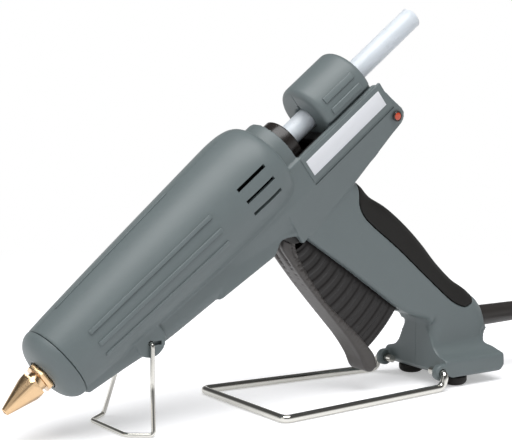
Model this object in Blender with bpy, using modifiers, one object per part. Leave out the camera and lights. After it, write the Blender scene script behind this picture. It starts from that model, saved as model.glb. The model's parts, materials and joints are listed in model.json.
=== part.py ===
"""Trigger-fed hot glue gun on two wire stands, one closed solid for each piece.

Lengths are in metres and +Z is up. The barrel slopes down towards the nozzle in the
XZ plane, the handle and the cord are at +X, and Y = 0 is the plane between the two
halves of the housing.
"""
import math

import bmesh
import bpy
from mathutils import Matrix, Vector

# Fits shared by all pieces
GAP = 0.0003
WALL = 0.0025
OVERRUN = 0.006
MERGE = 0.00001

# Facets
FINE_STEPS = 48
ROUND_STEPS = 32
SMALL_STEPS = 16
FILLET_STEPS = 3
ARCH_STEPS = 6
CURVE_SAMPLES = 20
MITRE_LEAST_SHARE = 0.3
BEND_REACH_SHARE = 0.45

# Barrel: its axis, and stations measured along it from the plane of the stand's front bar
AXIS_TILT = math.radians(36.9)
AXIS_HEIGHT = 0.1185
BARREL_FRONT = -0.1324
NOSE_RADIUS = 0.0205
BELLY_RADIUS = 0.0267
BELLY_STATION = 0.0015
BARREL_SWELL_SHARE = 0.83
BARREL_STATION_SHARES = (0.0, 0.1, 0.25, 0.45, 0.7, 1.0)
SHOULDER_LENGTH = 0.0205
SHOULDER_POWER = 2.8
SHOULDER_STATION_SHARES = (0.25, 0.5, 0.7, 0.85, 0.95, 1.0)
NECK_RADIUS = 0.0182
NECK_LENGTH = 0.0084

# Ribs and vents on the barrel's flanks
RIB_START = -0.116
RIB_LENGTH = 0.086
RIB_WIDTH = 0.0022
RIB_HEIGHT = 0.0009
RIB_STEPS = 4
RIB_ANGLES = (23.5, 3.5, -16.0)
VENT_SPACE = 0.0195
VENT_LENGTH = 0.0203
VENT_WIDTH = 0.0019
VENT_ANGLES = (22.6, 5.2, -12.2)

# Keel: the flat-sided body under the barrel, as shares of its length and depth
KEEL_HALF_WIDTH = 0.0148
KEEL_FILLET = 0.0055
KEEL_LENGTH = 0.1235
KEEL_DEPTH = 0.0383
KEEL_SHARES = ((0.0, 0.53), (0.19, 0.65), (0.38, 0.78), (0.68, 0.885), (1.0, 1.0))
KEEL_TOP = 0.002

# Trigger arch and handle, in side view
ARCH_START = (0.0191, 0.0891)
ARCH_SPAN = 0.0189
ARCH_RISE = 0.0027
HANDLE_FRONT_DROP = 0.0533
HANDLE_FRONT_SHARES = ((0.316, 0.341), (0.731, 0.812), (0.838, 0.897), (0.922, 0.94), (0.975, 0.97),
                       (1.0, 1.03))

# Rubber grip, in side view
GRIP_TOP = (0.0700, 0.1185)
GRIP_REACH = 0.0803
GRIP_DROP = 0.0700
GRIP_BACK_SHARES = ((0.05, 0.045), (0.122, 0.13), (0.25, 0.214), (0.361, 0.309), (0.477, 0.426),
                    (0.59, 0.557), (0.706, 0.707), (0.851, 0.861), (0.965, 0.945), (1.037, 1.013))
GRIP_FRONT_SHARES = ((1.015, 1.065), (0.938, 1.093), (0.821, 1.033), (0.59, 0.811), (0.34, 0.56),
                     (0.12, 0.36), (0.05, 0.284), (0.008, 0.199), (0.001, 0.1))
GRIP_WALL = 0.003
CORE_HALF_WIDTH = 0.0117
CORE_CAVITY_HALF_WIDTH = 0.0092

# Foot of the handle
BASE_HALF_WIDTH = 0.0277
BASE_FRONT = 0.1215
BASE_BACK = 0.1638
BASE_FLOOR = 0.0055
BASE_FRONT_FLOOR = 0.0091
BASE_TOP = 0.036
BASE_SECTION_SHARES = ((0.0, 1.0), (0.22, 0.96), (0.415, 0.803), (0.523, 0.607), (0.6, 0.49),
                       (0.722, 0.403), (0.866, 0.364), (0.98, 0.33), (1.0, 0.25), (1.0, 0.05), (0.95, 0.0))
BASE_BACK_RUN_SHARES = ((0.95, 0.0), (1.0, 0.105), (0.995, 0.277), (0.887, 0.347), (0.91, 0.44),
                        (0.988, 0.55), (0.922, 0.786), (0.818, 0.928))
BASE_BACK_RISE = 0.043
CAVITY_FLOOR = 0.024
CAVITY_BACK = 0.1598

# Feed arm behind the barrel, in the barrel's own stations and heights
ARM_FRONT = 0.008
ARM_LENGTH = 0.0917
ARM_HALF_WIDTH = 0.020
ARM_TOP = -0.0037
ARM_WAIST = -0.021
ARM_BOTTOM = -0.045
ARM_BACK_SHARES = ((0.905, 0.0), (0.935, 0.05), (0.977, 0.414), (1.0, 0.57), (0.99, 0.66),
                   (0.965, 0.705), (0.93, 0.722), (0.513, 0.87))
TROUGH_HALF_WIDTH = 0.0170

# Front cap, washer and nozzle
CAP_LENGTH = 0.0096
CAP_HOLE_RADIUS = 0.0083
CAP_SHARES = ((0.0, 1.0), (0.25, 0.985), (0.5, 0.93), (0.74, 0.82), (0.9, 0.68), (1.0, 0.5))
CAP_WALL = 0.0022
NOZZLE_TIP = -0.169
NOZZLE_TIP_RADIUS = 0.0021
NOZZLE_CONE_LENGTH = 0.0203
NOZZLE_CONE_RADIUS = 0.0079
NOZZLE_CONE_HEX_RADIUS = 0.0078
NOZZLE_NECK_RADIUS = 0.0052
NOZZLE_BORE_RADIUS = 0.0011
FLANGE_LENGTH = 0.0030
FLANGE_RADIUS = 0.0085
WASHER_THICKNESS = 0.0008
WASHER_RADIUS = 0.0078

# Heater and what holds it
HEATER_RADIUS = 0.014
HEATER_FRONT = -0.124
HEATER_REAR = -0.010
MELT_RADIUS = 0.0065
MELT_FRONT = -0.118
SPOUT_RADIUS = 0.0066
SPOUT_BORE_RADIUS = 0.0018
HEATER_FLAT = -0.0125
ELEMENT_LENGTH = 0.060
ELEMENT_WIDTH = 0.014
ELEMENT_THICKNESS = 0.0024
ELEMENT_FRONT = -0.095
CLAMP_THICKNESS = 0.0014
SUPPORT_LENGTH = 0.005
SUPPORT_STATIONS = (-0.1225, -0.0195)
FUSE_RADIUS = 0.002
FUSE_LENGTH = 0.012
FUSE_STATION = -0.066

# Inlet bush, feed sleeve and glue stick
BUSH_RADIUS = 0.013
BUSH_REAR = 0.0388
BUSH_LENGTH = 0.0150
STICK_RADIUS = 0.006
STICK_FRONT = -0.030
STICK_REAR = 0.1446
STICK_FIT = 0.0004
SLEEVE_RADIUS = 0.0084

# Feed carriage
CARRIAGE_FRONT = 0.0562
CARRIAGE_LENGTH = 0.0348
CARRIAGE_RADIUS = 0.0187
CARRIAGE_ROUND = 0.0034
CARRIAGE_FLAT = 0.0163
CARRIAGE_SHOULDER = -0.0024
CARRIAGE_BAR_ANGLES = (27.0, 5.0)
CARRIAGE_BAR_LENGTH = 0.0225
CARRIAGE_BAR_WIDTH = 0.0042
CARRIAGE_BAR_HEIGHT = 0.0008
JAW_LENGTH = 0.012
JAW_WIDTH = 0.007
JAW_HEIGHT = 0.0052
CHANNEL_WALL = 0.0016
CHANNEL_RISE = 0.004

# Trigger
PIVOT = (0.030, 0.095)
PULL_ANGLE = math.radians(16.5)
PIN_RADIUS = 0.0022
HUB_RADIUS = 0.0072
PIVOT_FIT = 0.0003
TRIGGER_HALF_WIDTH = 0.0085
TRIGGER_TOP = (0.0195, 0.0872)
TRIGGER_REACH = 0.0682
TRIGGER_DROP = 0.0756
TRIGGER_FILLET = 0.0018
LEVER_FRONT_SHARES = ((0.088, -0.077), (0.073, 0.016), (0.125, 0.095), (0.279, 0.274), (0.433, 0.439),
                      (0.587, 0.598), (0.733, 0.749), (0.836, 0.882), (0.88, 0.968))
LEVER_END_SHARES = ((0.909, 1.0), (0.953, 1.009), (0.993, 0.981), (1.0, 0.935), (0.975, 0.876))
LEVER_BACK_SHARES = ((0.924, 0.819), (0.801, 0.701), (0.652, 0.578), (0.499, 0.448), (0.396, 0.327),
                     (0.309, 0.213), (0.235, 0.102), (0.198, 0.016), (0.22, -0.077))
LEVER_OVERLAP = 0.0015
WEB_HALF_WIDTH = 0.0072
WEB_RADIUS = 0.0875
WEB_INNER_RADIUS = 0.012
WEB_REST_ANGLE = math.radians(-33.0)
WEB_STEPS = 5
SLOT_HALF_WIDTH = 0.0090
SLOT_RADIUS = 0.0895
SLOT_TOP_ANGLE = math.radians(-13.5)
SLOT_BOTTOM_ANGLE = math.radians(-62.0)
SPRING_WIRE_RADIUS = 0.0006
SPRING_HALF_WIDTH = 0.0036
SPRING_TURNS = 3
SPRING_POINTS = 10

# Fork and feed yoke
FORK_INNER = 0.0095
FORK_THICKNESS = 0.0022
FORK_HALF_WIDTH = 0.0042
FORK_TOP = -0.0035
HUB_POCKET_HALF_WIDTH = 0.0048
HUB_POCKET_RADIUS = 0.0052
YOKE_HEIGHT = -0.0086
YOKE_PIN_RADIUS = 0.0017
YOKE_PIN_FIT = 0.0003
YOKE_INNER = 0.0128
YOKE_THICKNESS = 0.0024
YOKE_HALF_HEIGHT = 0.0030
YOKE_NOSE = 0.0034
YOKE_BRIDGE_LENGTH = 0.0055
YOKE_WINDOW_FIT = 0.0005

# Bare label plates, lamp and terminal block
LABEL_FRONT_ROOM = 0.0245
LABEL_REAR_ROOM = 0.0087
LABEL_MIDDLE = -0.0121
LABEL_WIDTH = 0.0093
LABEL_THICKNESS = 0.0007
LABEL_RECESS = 0.0007
LAMP_REAR_ROOM = 0.0062
LAMP_HEIGHT = -0.0270
LAMP_RADIUS = 0.0021
LAMP_PROUD = 0.0006
BOARD_THICKNESS = 0.0012
BOARD_LENGTH = 0.010
BOARD_HEIGHT = 0.005
BLOCK_SIZE = (0.010, 0.016, 0.008)
BLOCK_BACK_ROOM = 0.0145

# Screws that close the housing, as stations and heights; shanks reach SCREW_DEPTH past the middle
SCREW_HEAD_RADIUS = 0.0029
SCREW_HEAD_LENGTH = 0.0022
SCREW_SHANK_RADIUS = 0.0014
SCREW_RECESS = 0.0012
BOSS_RADIUS = 0.0036
SCREW_PLACES = {"front": (-0.060, -0.0245), "middle": (-0.015, -0.0300), "arm": (0.076, -0.0285),
                "upper": (0.0375, -0.0530), "lower": (0.0582, -0.1349)}

# Front wire bail
BAIL_WIRE_RADIUS = 0.0012
BAIL_PIVOT = (-0.0615, 0.0456)
BAIL_END = 0.0125
BAIL_LEG = 0.0181
BAIL_KINK_DROP = 0.0216
BAIL_KINK_SPREAD = 0.0008
BAIL_KINK_SHIFT = -0.0008
BAIL_FOOT_SPREAD = 0.0079
BAIL_FOOT_SHIFT = -0.0044
BAIL_TOE_SHIFT = -0.0159
BAIL_TOE_HALF_WIDTH = 0.0177
BAIL_CORNER = 0.0022
BOSS_DISC_RADIUS = 0.0088
BOSS_DISC_FACE = 0.0166
BOSS_DISC_RISE = 0.0014

# Rear wire stand
STAND_WIRE_RADIUS = 0.0022
STAND_PIVOT = (0.1188, 0.0095)
STAND_LUG_RADIUS = 0.0046
STAND_LUG_LENGTH = 0.0045
STAND_END = 0.0175
STAND_LENGTH = 0.1148
STAND_HALF_WIDTH = 0.0400
STAND_HEEL_SHIFT = 0.0025
STAND_CORNER = 0.0045

# Rubber feet
FOOT_RADIUS = 0.007
FOOT_PLACE = (0.134, 0.0195)
FOOT_SHARES = ((1.0, 1.0), (0.5, 1.0), (0.2, 0.86), (0.0, 0.55))

# Strain relief, cord and plug
CORD_RADIUS = 0.00375
CORD_HEIGHT = 0.0325
RELIEF_SEAT = 0.1545
RELIEF_END = 0.2050
RELIEF_RADIUS = 0.0062
RELIEF_TIP_RADIUS = 0.0054
CORD_ROUTE = ((0.2053, 0.0, 0.0325), (0.2150, 0.0010, 0.0324), (0.2268, 0.0072, 0.0295),
              (0.2375, 0.0178, 0.0235), (0.2480, 0.0300, 0.0160), (0.2600, 0.0415, 0.0095),
              (0.2740, 0.0495, 0.0055), (0.2862, 0.0532, 0.0040), (0.2950, 0.0540, 0.00375))
CORD_POINT_STEP = 0.0085
CORD_STIFF_SHARE = 0.5
COIL_OUTER = 0.0540
COIL_PITCH = 0.0083
COIL_LAYER_RISE = 0.0081
COIL_TURNS_PER_LAYER = 3
COIL_POINTS = 24
PLUG_LENGTH = 0.034
PLUG_WIDTH = 0.030
PLUG_COLLAR_LENGTH = 0.012
PLUG_COLLAR_RADIUS = 0.0062
PLUG_FILLET = 0.004
PLUG_PIN_RADIUS = 0.0024
PLUG_PIN_LENGTH = 0.019
PLUG_PIN_SPACING = 0.019

# Finishes: colour, roughness, metallic
FINISHES = {
    "grey_housing": ((0.145, 0.175, 0.182), 0.5, 0.0),
    "black_rubber": ((0.020, 0.021, 0.020), 0.75, 0.0),
    "black_plastic": ((0.012, 0.012, 0.012), 0.5, 0.0),
    "dark_grip_plastic": ((0.075, 0.068, 0.064), 0.45, 0.0),
    "brass": ((0.62, 0.43, 0.19), 0.3, 1.0),
    "steel_wire": ((0.45, 0.45, 0.42), 0.25, 1.0),
    "zinc_steel": ((0.50, 0.50, 0.50), 0.35, 1.0),
    "aluminium": ((0.70, 0.70, 0.71), 0.4, 1.0),
    "glue": ((0.80, 0.82, 0.84), 0.4, 0.0),
    "label_white": ((0.78, 0.79, 0.82), 0.4, 0.0),
    "lamp_red": ((0.40, 0.05, 0.02), 0.25, 0.0),
    "ceramic": ((0.75, 0.73, 0.68), 0.6, 0.0),
    "board_green": ((0.03, 0.14, 0.06), 0.5, 0.0),
    "cord_black": ((0.022, 0.020, 0.019), 0.5, 0.0),
}

# Values that follow from the sizes above
AXIS_WAY = Vector((math.cos(AXIS_TILT), 0.0, math.sin(AXIS_TILT)))
AXIS_UP = Vector((-math.sin(AXIS_TILT), 0.0, math.cos(AXIS_TILT)))
AXIS_ORIGIN = Vector((0.0, 0.0, AXIS_HEIGHT))
NECK_FRONT = BELLY_STATION + SHOULDER_LENGTH
NECK_REAR = NECK_FRONT + NECK_LENGTH
CAP_FRONT = BARREL_FRONT - GAP - CAP_LENGTH
FLANGE_REAR = CAP_FRONT - GAP
BASE_RISE = BASE_TOP - BASE_FLOOR
BASE_DEPTH = BASE_BACK - BASE_FRONT
CARRIAGE_REAR = CARRIAGE_FRONT + CARRIAGE_LENGTH
TROUGH_FLOOR = -(CARRIAGE_RADIUS + 2 * GAP + CHANNEL_WALL)
ARM_REAR = ARM_FRONT + ARM_LENGTH
LABEL_START = ARM_FRONT + LABEL_FRONT_ROOM
LABEL_END = ARM_REAR - LABEL_REAR_ROOM
LAMP_STATION = ARM_REAR - LAMP_REAR_ROOM
VENT_START = RIB_START + RIB_LENGTH + VENT_SPACE
BORE_RADIUS = STICK_RADIUS + STICK_FIT
SCREW_DEPTH = KEEL_HALF_WIDTH / 2
PLUG_HEIGHT = 2 * (CORD_RADIUS + COIL_LAYER_RISE)
NOZZLE_TIP_X = (AXIS_ORIGIN + NOZZLE_TIP * AXIS_WAY + NOZZLE_TIP_RADIUS * AXIS_UP).x
ORIGIN_SHIFT = -(NOZZLE_TIP_X + BASE_BACK) / 2


def clear_scene():
    for thing in list(bpy.data.objects):
        bpy.data.objects.remove(thing, do_unlink=True)


def new_collection(name):
    group = bpy.data.collections.new(name)
    bpy.context.scene.collection.children.link(group)
    return group


def make_material(name):
    colour, roughness, metallic = FINISHES[name]
    material = bpy.data.materials.new(name)
    material.use_nodes = True
    shader = material.node_tree.nodes["Principled BSDF"]
    shader.inputs["Base Color"].default_value = (*colour, 1.0)
    shader.inputs["Roughness"].default_value = roughness
    shader.inputs["Metallic"].default_value = metallic
    return material


clear_scene()
PARTS = new_collection("hot_glue_applicator")
CUTTERS = new_collection("cutters")
ROOT = bpy.data.objects.new("hot_glue_applicator_root", None)
ROOT.location.x = ORIGIN_SHIFT
PARTS.objects.link(ROOT)
MATERIALS = {name: make_material(name) for name in FINISHES}


# Placing helpers

def on_axis(station, height, side=0.0):
    """Point at a station along the barrel axis, a height above it and a distance to the side."""
    return AXIS_ORIGIN + station * AXIS_WAY + height * AXIS_UP + Vector((0.0, side, 0.0))


def to_axis(x, z):
    """Station and height of a point of the side view."""
    offset = Vector((x, 0.0, z)) - AXIS_ORIGIN
    return offset.dot(AXIS_WAY), offset.dot(AXIS_UP)


def side_points(pairs):
    """Side-view points (x, z) of pairs given as station and height on the barrel axis."""
    return [(on_axis(station, height).x, on_axis(station, height).z) for station, height in pairs]


def span(start, reach, drop, shares):
    """Points that lie shares of a reach towards +X and of a drop towards the floor from a start."""
    return [(start[0] + along * reach, start[1] - down * drop) for along, down in shares]


def arc(centre, radius, start, end, steps):
    turns = [start + (end - start) * step / steps for step in range(steps + 1)]
    return [(centre[0] + radius * math.cos(turn), centre[1] + radius * math.sin(turn)) for turn in turns]


def inset(outline, depth):
    """Outline with each side moved inwards by a depth, or outwards by a negative one."""
    count = len(outline)
    area = sum(outline[i - 1][0] * outline[i][1] - outline[i][0] * outline[i - 1][1] for i in range(count))
    turn = 1.0 if area > 0 else -1.0
    moved = []
    for i in range(count):
        before = (Vector(outline[i]) - Vector(outline[i - 1])).normalized()
        after = (Vector(outline[(i + 1) % count]) - Vector(outline[i])).normalized()
        normal = turn * (Vector((-before.y, before.x)) + Vector((-after.y, after.x))) / 2
        reach = depth / max(normal.length_squared, MITRE_LEAST_SHARE)
        moved.append(tuple(Vector(outline[i]) + normal * reach))
    return moved


SIDE_VIEW = Matrix(((1, 0, 0, 0), (0, 0, -1, 0), (0, 1, 0, 0), (0, 0, 0, 1)))
FRONT_VIEW = Matrix(((0, 0, 1, 0), (1, 0, 0, 0), (0, 1, 0, 0), (0, 0, 0, 1)))
# Turned pieces have local +Z along the barrel towards the stick's free end
BARREL_AXIS = Matrix.Translation(AXIS_ORIGIN) @ Matrix.Rotation(math.pi / 2 - AXIS_TILT, 4, "Y")
# Cross-sections of the arm: local X is +Y, local Y is up from the axis, local Z runs along the barrel
ARM_SECTION = Matrix((
    (0, AXIS_UP.x, AXIS_WAY.x, AXIS_ORIGIN.x), (1, 0, 0, 0),
    (0, AXIS_UP.z, AXIS_WAY.z, AXIS_ORIGIN.z), (0, 0, 0, 1)))


# Making helpers

def add_piece(name, mesh, matrix, material=None):
    """New object: a sub-part with a material, or a cutter without one."""
    piece = bpy.data.objects.new(name, mesh)
    if material:
        PARTS.objects.link(piece)
        mesh.materials.clear()
        mesh.materials.append(MATERIALS[material])
    else:
        CUTTERS.objects.link(piece)
        piece.hide_render = True
        piece.display_type = "WIRE"
    piece.parent = ROOT
    piece.matrix_parent_inverse = Matrix.Identity(4)
    piece.matrix_basis = matrix
    return piece


def turned(name, profile, matrix=BARREL_AXIS, material=None, steps=ROUND_STEPS, ring=False):
    """Turned solid about local Z from (station, radius) points, which run down its outer side."""
    mesh = bpy.data.meshes.new(name)
    edges = [(i, i + 1) for i in range(len(profile) - 1)]
    if ring:
        edges.append((len(profile) - 1, 0))
    mesh.from_pydata([(radius, 0.0, station) for station, radius in profile], edges, [])
    piece = add_piece(name, mesh, matrix, material)
    screw = piece.modifiers.new("Turn", "SCREW")
    screw.steps = steps
    screw.render_steps = steps
    screw.use_merge_vertices = True
    screw.merge_threshold = MERGE
    screw.use_smooth_shade = True
    return piece


def rod(name, start, end, radius, material=None, steps=SMALL_STEPS, bore=0.0):
    """Cylinder between two points, bored through when a bore radius is given."""
    way = Vector(end) - Vector(start)
    matrix = Matrix.Translation(start) @ way.to_track_quat("Z", "X").to_matrix().to_4x4()
    length = way.length
    if bore:
        return turned(name, [(length, bore), (length, radius), (0.0, radius), (0.0, bore)], matrix, material,
                      steps, ring=True)
    return turned(name, [(length, 0.0), (length, radius), (0.0, radius), (0.0, 0.0)], matrix, material, steps)


def curve_mesh(piece):
    """Mesh of a curve object, its caps welded; the curve is removed."""
    depsgraph = bpy.context.evaluated_depsgraph_get()
    mesh = bpy.data.meshes.new_from_object(piece.evaluated_get(depsgraph))
    shape = bmesh.new()
    shape.from_mesh(mesh)
    bmesh.ops.remove_doubles(shape, verts=shape.verts, dist=MERGE)
    bmesh.ops.dissolve_limit(shape, angle_limit=math.radians(0.5), verts=shape.verts, edges=shape.edges)
    bmesh.ops.recalc_face_normals(shape, faces=shape.faces)
    shape.to_mesh(mesh)
    shape.free()
    bpy.data.objects.remove(piece, do_unlink=True)
    return mesh


def plate(name, outline, low, high, matrix=SIDE_VIEW, material=None, fillet=0.0):
    """Flat outline made thick from low to high along its normal, its rims rounded by a fillet.

    In the side view the normal is -Y, so low and high are distances towards -Y.
    """
    curve = bpy.data.curves.new(name, "CURVE")
    curve.dimensions = "2D"
    curve.fill_mode = "BOTH"
    curve.extrude = (high - low) / 2
    line = curve.splines.new("POLY")
    line.points.add(len(outline) - 1)
    for point, (across, up) in zip(line.points, outline):
        point.co = (across, up, 0.0, 1.0)
    line.use_cyclic_u = True
    flat = bpy.data.objects.new(name, curve)
    CUTTERS.objects.link(flat)
    mesh = curve_mesh(flat)
    mesh.transform(Matrix.Translation((0.0, 0.0, (low + high) / 2)))
    if fillet:
        round_rims(mesh, fillet)
    return add_piece(name, mesh, matrix, material)


def round_rims(mesh, fillet):
    """Round the edges between a plate's two flat faces and its sides."""
    shape = bmesh.new()
    shape.from_mesh(mesh)
    shape.normal_update()
    rims = [edge for edge in shape.edges if len(edge.link_faces) == 2
            and {abs(face.normal.z) > 0.5 for face in edge.link_faces} == {True, False}]
    bmesh.ops.bevel(shape, geom=rims, offset=fillet, segments=FILLET_STEPS, profile=0.5, affect="EDGES",
                    clamp_overlap=False)
    bmesh.ops.recalc_face_normals(shape, faces=shape.faces)
    shape.to_mesh(mesh)
    shape.free()


def box(name, lows, highs, matrix=None, material=None):
    """Box between two corners."""
    mesh = bpy.data.meshes.new(name)
    shape = bmesh.new()
    bmesh.ops.create_cube(shape, size=1.0)
    size = Vector(highs) - Vector(lows)
    middle = (Vector(highs) + Vector(lows)) / 2
    sized = Matrix.Translation(middle) @ Matrix.Diagonal((*size, 1.0))
    bmesh.ops.transform(shape, matrix=sized, verts=shape.verts)
    shape.to_mesh(mesh)
    shape.free()
    return add_piece(name, mesh, matrix or Matrix.Identity(4), material)


def axis_box(name, stations, heights, sides, material=None):
    """Box between stations, heights and side distances measured from the barrel axis."""
    lows = (sides[0], heights[0], stations[0])
    highs = (sides[1], heights[1], stations[1])
    return box(name, lows, highs, ARM_SECTION, material)


def both_sides(low, high):
    """The span from low to high on the near side, and its mirror image on the far side."""
    return {"near": (-high, -low), "far": (low, high)}


def joined(piece, tool, operation):
    step = piece.modifiers.new(tool.name, "BOOLEAN")
    step.operation = operation
    step.solver = "EXACT"
    step.object = tool
    return piece


def add(piece, *tools):
    for tool in tools:
        joined(piece, tool, "UNION")
    return piece


def cut(piece, *tools):
    for tool in tools:
        joined(piece, tool, "DIFFERENCE")
    return piece


def keep(piece, tool):
    return joined(piece, tool, "INTERSECT")


def settle(piece):
    """Replace a piece's mesh by its shape after modifiers, with flat faces merged."""
    depsgraph = bpy.context.evaluated_depsgraph_get()
    mesh = bpy.data.meshes.new_from_object(piece.evaluated_get(depsgraph))
    shape = bmesh.new()
    shape.from_mesh(mesh)
    bmesh.ops.remove_doubles(shape, verts=shape.verts, dist=MERGE)
    bmesh.ops.dissolve_limit(shape, angle_limit=math.radians(0.2), verts=shape.verts, edges=shape.edges)
    shape.to_mesh(mesh)
    shape.free()
    piece.modifiers.clear()
    piece.data = mesh
    return piece


def smooth_path(points, step):
    """Points at an even step along a smooth curve through hand-chosen ones."""
    dense = []
    for i in range(len(points) - 1):
        before = Vector(points[max(i - 1, 0)])
        start = Vector(points[i])
        end = Vector(points[i + 1])
        after = Vector(points[min(i + 2, len(points) - 1)])
        for k in range(CURVE_SAMPLES):
            t = k / CURVE_SAMPLES
            leave = (end - before) * CORD_STIFF_SHARE
            arrive = (after - start) * CORD_STIFF_SHARE
            dense.append((2 * t**3 - 3 * t**2 + 1) * start + (t**3 - 2 * t**2 + t) * leave
                         + (-2 * t**3 + 3 * t**2) * end + (t**3 - t**2) * arrive)
    dense.append(Vector(points[-1]))
    lengths = [0.0]
    for a, b in zip(dense, dense[1:]):
        lengths.append(lengths[-1] + (b - a).length)
    count = max(2, round(lengths[-1] / step))
    path = []
    place = 0
    for k in range(count + 1):
        target = lengths[-1] * k / count
        while place < len(lengths) - 2 and lengths[place + 1] < target:
            place += 1
        part = (target - lengths[place]) / (lengths[place + 1] - lengths[place])
        path.append(dense[place].lerp(dense[place + 1], part))
    return path


def rounded_path(points, radius, steps=3):
    """Path through corner points, each inner corner turned by a short arc of points."""
    path = [Vector(points[0])]
    for before, corner, after in zip(points, points[1:], points[2:]):
        corner = Vector(corner)
        back = Vector(before) - corner
        on = Vector(after) - corner
        reach = min(radius, back.length * BEND_REACH_SHARE, on.length * BEND_REACH_SHARE)
        start = corner + back.normalized() * reach
        end = corner + on.normalized() * reach
        for k in range(steps + 1):
            t = k / steps
            path.append((1 - t)**2 * start + 2 * t * (1 - t) * corner + t**2 * end)
    path.append(Vector(points[-1]))
    return path


def tube(name, path, radius, material, resolution=2):
    """Round wire along a path of points, with filled ends."""
    curve = bpy.data.curves.new(name, "CURVE")
    curve.dimensions = "3D"
    curve.bevel_depth = radius
    curve.bevel_resolution = resolution
    curve.use_fill_caps = True
    line = curve.splines.new("POLY")
    line.points.add(len(path) - 1)
    for point, place in zip(line.points, path):
        point.co = (*place, 1.0)
    wire = bpy.data.objects.new(name, curve)
    CUTTERS.objects.link(wire)
    mesh = curve_mesh(wire)
    for face in mesh.polygons:
        face.use_smooth = len(face.vertices) == 4
    return add_piece(name, mesh, Matrix.Identity(4), material)


# Outlines shared by several pieces

def keel_run():
    start = BARREL_FRONT + GAP
    return side_points([(start + along * KEEL_LENGTH, -depth * KEEL_DEPTH) for along, depth in KEEL_SHARES])


def arch_run():
    middle = (ARCH_START[0] + ARCH_SPAN / 2, ARCH_START[1])
    return [(middle[0] - math.cos(turn) * ARCH_SPAN / 2, middle[1] + math.sin(turn) * ARCH_RISE)
            for turn in (math.pi * k / ARCH_STEPS for k in range(ARCH_STEPS + 1))]


def handle_front_run():
    start = (ARCH_START[0] + ARCH_SPAN, ARCH_START[1])
    return span(start, BASE_FRONT - start[0], HANDLE_FRONT_DROP, HANDLE_FRONT_SHARES)


def base_back_run():
    return [(BASE_FRONT + along * BASE_DEPTH, BASE_FLOOR + up * BASE_BACK_RISE)
            for along, up in BASE_BACK_RUN_SHARES]


def grip_back_run():
    return span(GRIP_TOP, GRIP_REACH, GRIP_DROP, GRIP_BACK_SHARES)


def grip_front_run():
    return span(GRIP_TOP, GRIP_REACH, GRIP_DROP, GRIP_FRONT_SHARES)


def body_top_run():
    """Hidden upper edge of the keel and handle, inside the arm and the barrel."""
    shelf = TROUGH_FLOOR
    arm_end = ARM_FRONT + ARM_LENGTH * ARM_BACK_SHARES[-1][0]
    return side_points([(arm_end, shelf), (NECK_FRONT, shelf), (ARM_FRONT, KEEL_TOP),
                        (BARREL_FRONT + GAP, KEEL_TOP)])


def handle_outline():
    """Side view of keel, handle and foot, with the rubber grip's back as its own back."""
    foot = [(BASE_FRONT, BASE_FRONT_FLOOR), (BASE_FRONT + BASE_FLOOR, BASE_FLOOR)]
    back = list(reversed(grip_back_run()))
    front = keel_run() + arch_run() + handle_front_run()
    return front + foot + base_back_run() + back + [GRIP_TOP] + body_top_run()


def grip_outline():
    return [GRIP_TOP] + grip_back_run() + grip_front_run()


def grip_runs(depth):
    """The grip's back and front runs, its outline moved inwards by a depth."""
    moved = inset(grip_outline(), depth)
    split = 1 + len(GRIP_BACK_SHARES)
    return moved[1:split], moved[split:]


def grip_zone(clearance):
    """What the rubber takes away from the handle, open past the handle's back."""
    back = grip_runs(-OVERRUN)[0]
    return [GRIP_TOP] + back + [grip_back_run()[-1]] + grip_runs(clearance)[1]


def core_outline(clearance=0.0):
    """The handle's core under the rubber, rooted in the handle's body."""
    return grip_runs(GRIP_WALL - clearance)[0][1:-1] + grip_runs(-WALL)[1][1:-1]


def core_cavity_outline():
    return grip_runs(GRIP_WALL + WALL)[0][2:-3] + grip_runs(-2 * WALL)[1][2:-3]


def cavity_outline():
    """Side view of the hollow inside: the outline moved in by the wall, with a plain foot."""
    front = handle_front_run()[:-2]
    foot = [(BASE_FRONT, BASE_TOP), (BASE_FRONT, CAVITY_FLOOR), (CAVITY_BACK, CAVITY_FLOOR),
            (CAVITY_BACK, base_back_run()[-2][1])]
    back = grip_front_run() + [GRIP_TOP]
    return inset(keel_run() + arch_run() + front + foot + back + body_top_run(), WALL)


def barrel_radius(station):
    """Outer radius of the barrel at a station: a swelling cone, then a rounded shoulder and the neck."""
    if station <= BELLY_STATION:
        share = (station - BARREL_FRONT) / (BELLY_STATION - BARREL_FRONT)
        return NOSE_RADIUS + (BELLY_RADIUS - NOSE_RADIUS) * max(share, 0.0)**BARREL_SWELL_SHARE
    share = min((station - BELLY_STATION) / SHOULDER_LENGTH, 1.0)
    return NECK_RADIUS + (BELLY_RADIUS - NECK_RADIUS) * (1 - share**SHOULDER_POWER)**(1 / SHOULDER_POWER)


def barrel_stations():
    length = BELLY_STATION - BARREL_FRONT
    cone = [BARREL_FRONT + length * share for share in BARREL_STATION_SHARES]
    shoulder = [BELLY_STATION + SHOULDER_LENGTH * share for share in SHOULDER_STATION_SHARES]
    return cone + shoulder


# Pieces

def make_housing():
    """Both halves of the housing, cut from one hollow body at the middle plane."""
    housing = make_outer_form()
    hollow(housing)
    brace(housing)
    open_up(housing)
    settle(housing)
    far_half = housing.copy()
    far_half.data = housing.data.copy()
    far_half.name = "housing_right"
    PARTS.objects.link(far_half)
    reach = 2 * max(STAND_HALF_WIDTH, BASE_HALF_WIDTH)
    length = 2 * (BASE_BACK - NOZZLE_TIP)
    for half, low, high in ((housing, -GAP / 2, reach), (far_half, -reach, GAP / 2)):
        cut(half, box(f"{half.name}_plane", (-length, low, -length), (length, high, length)))
    cut(far_half, *screw_seats())
    settle(housing)
    settle(far_half)


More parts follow.
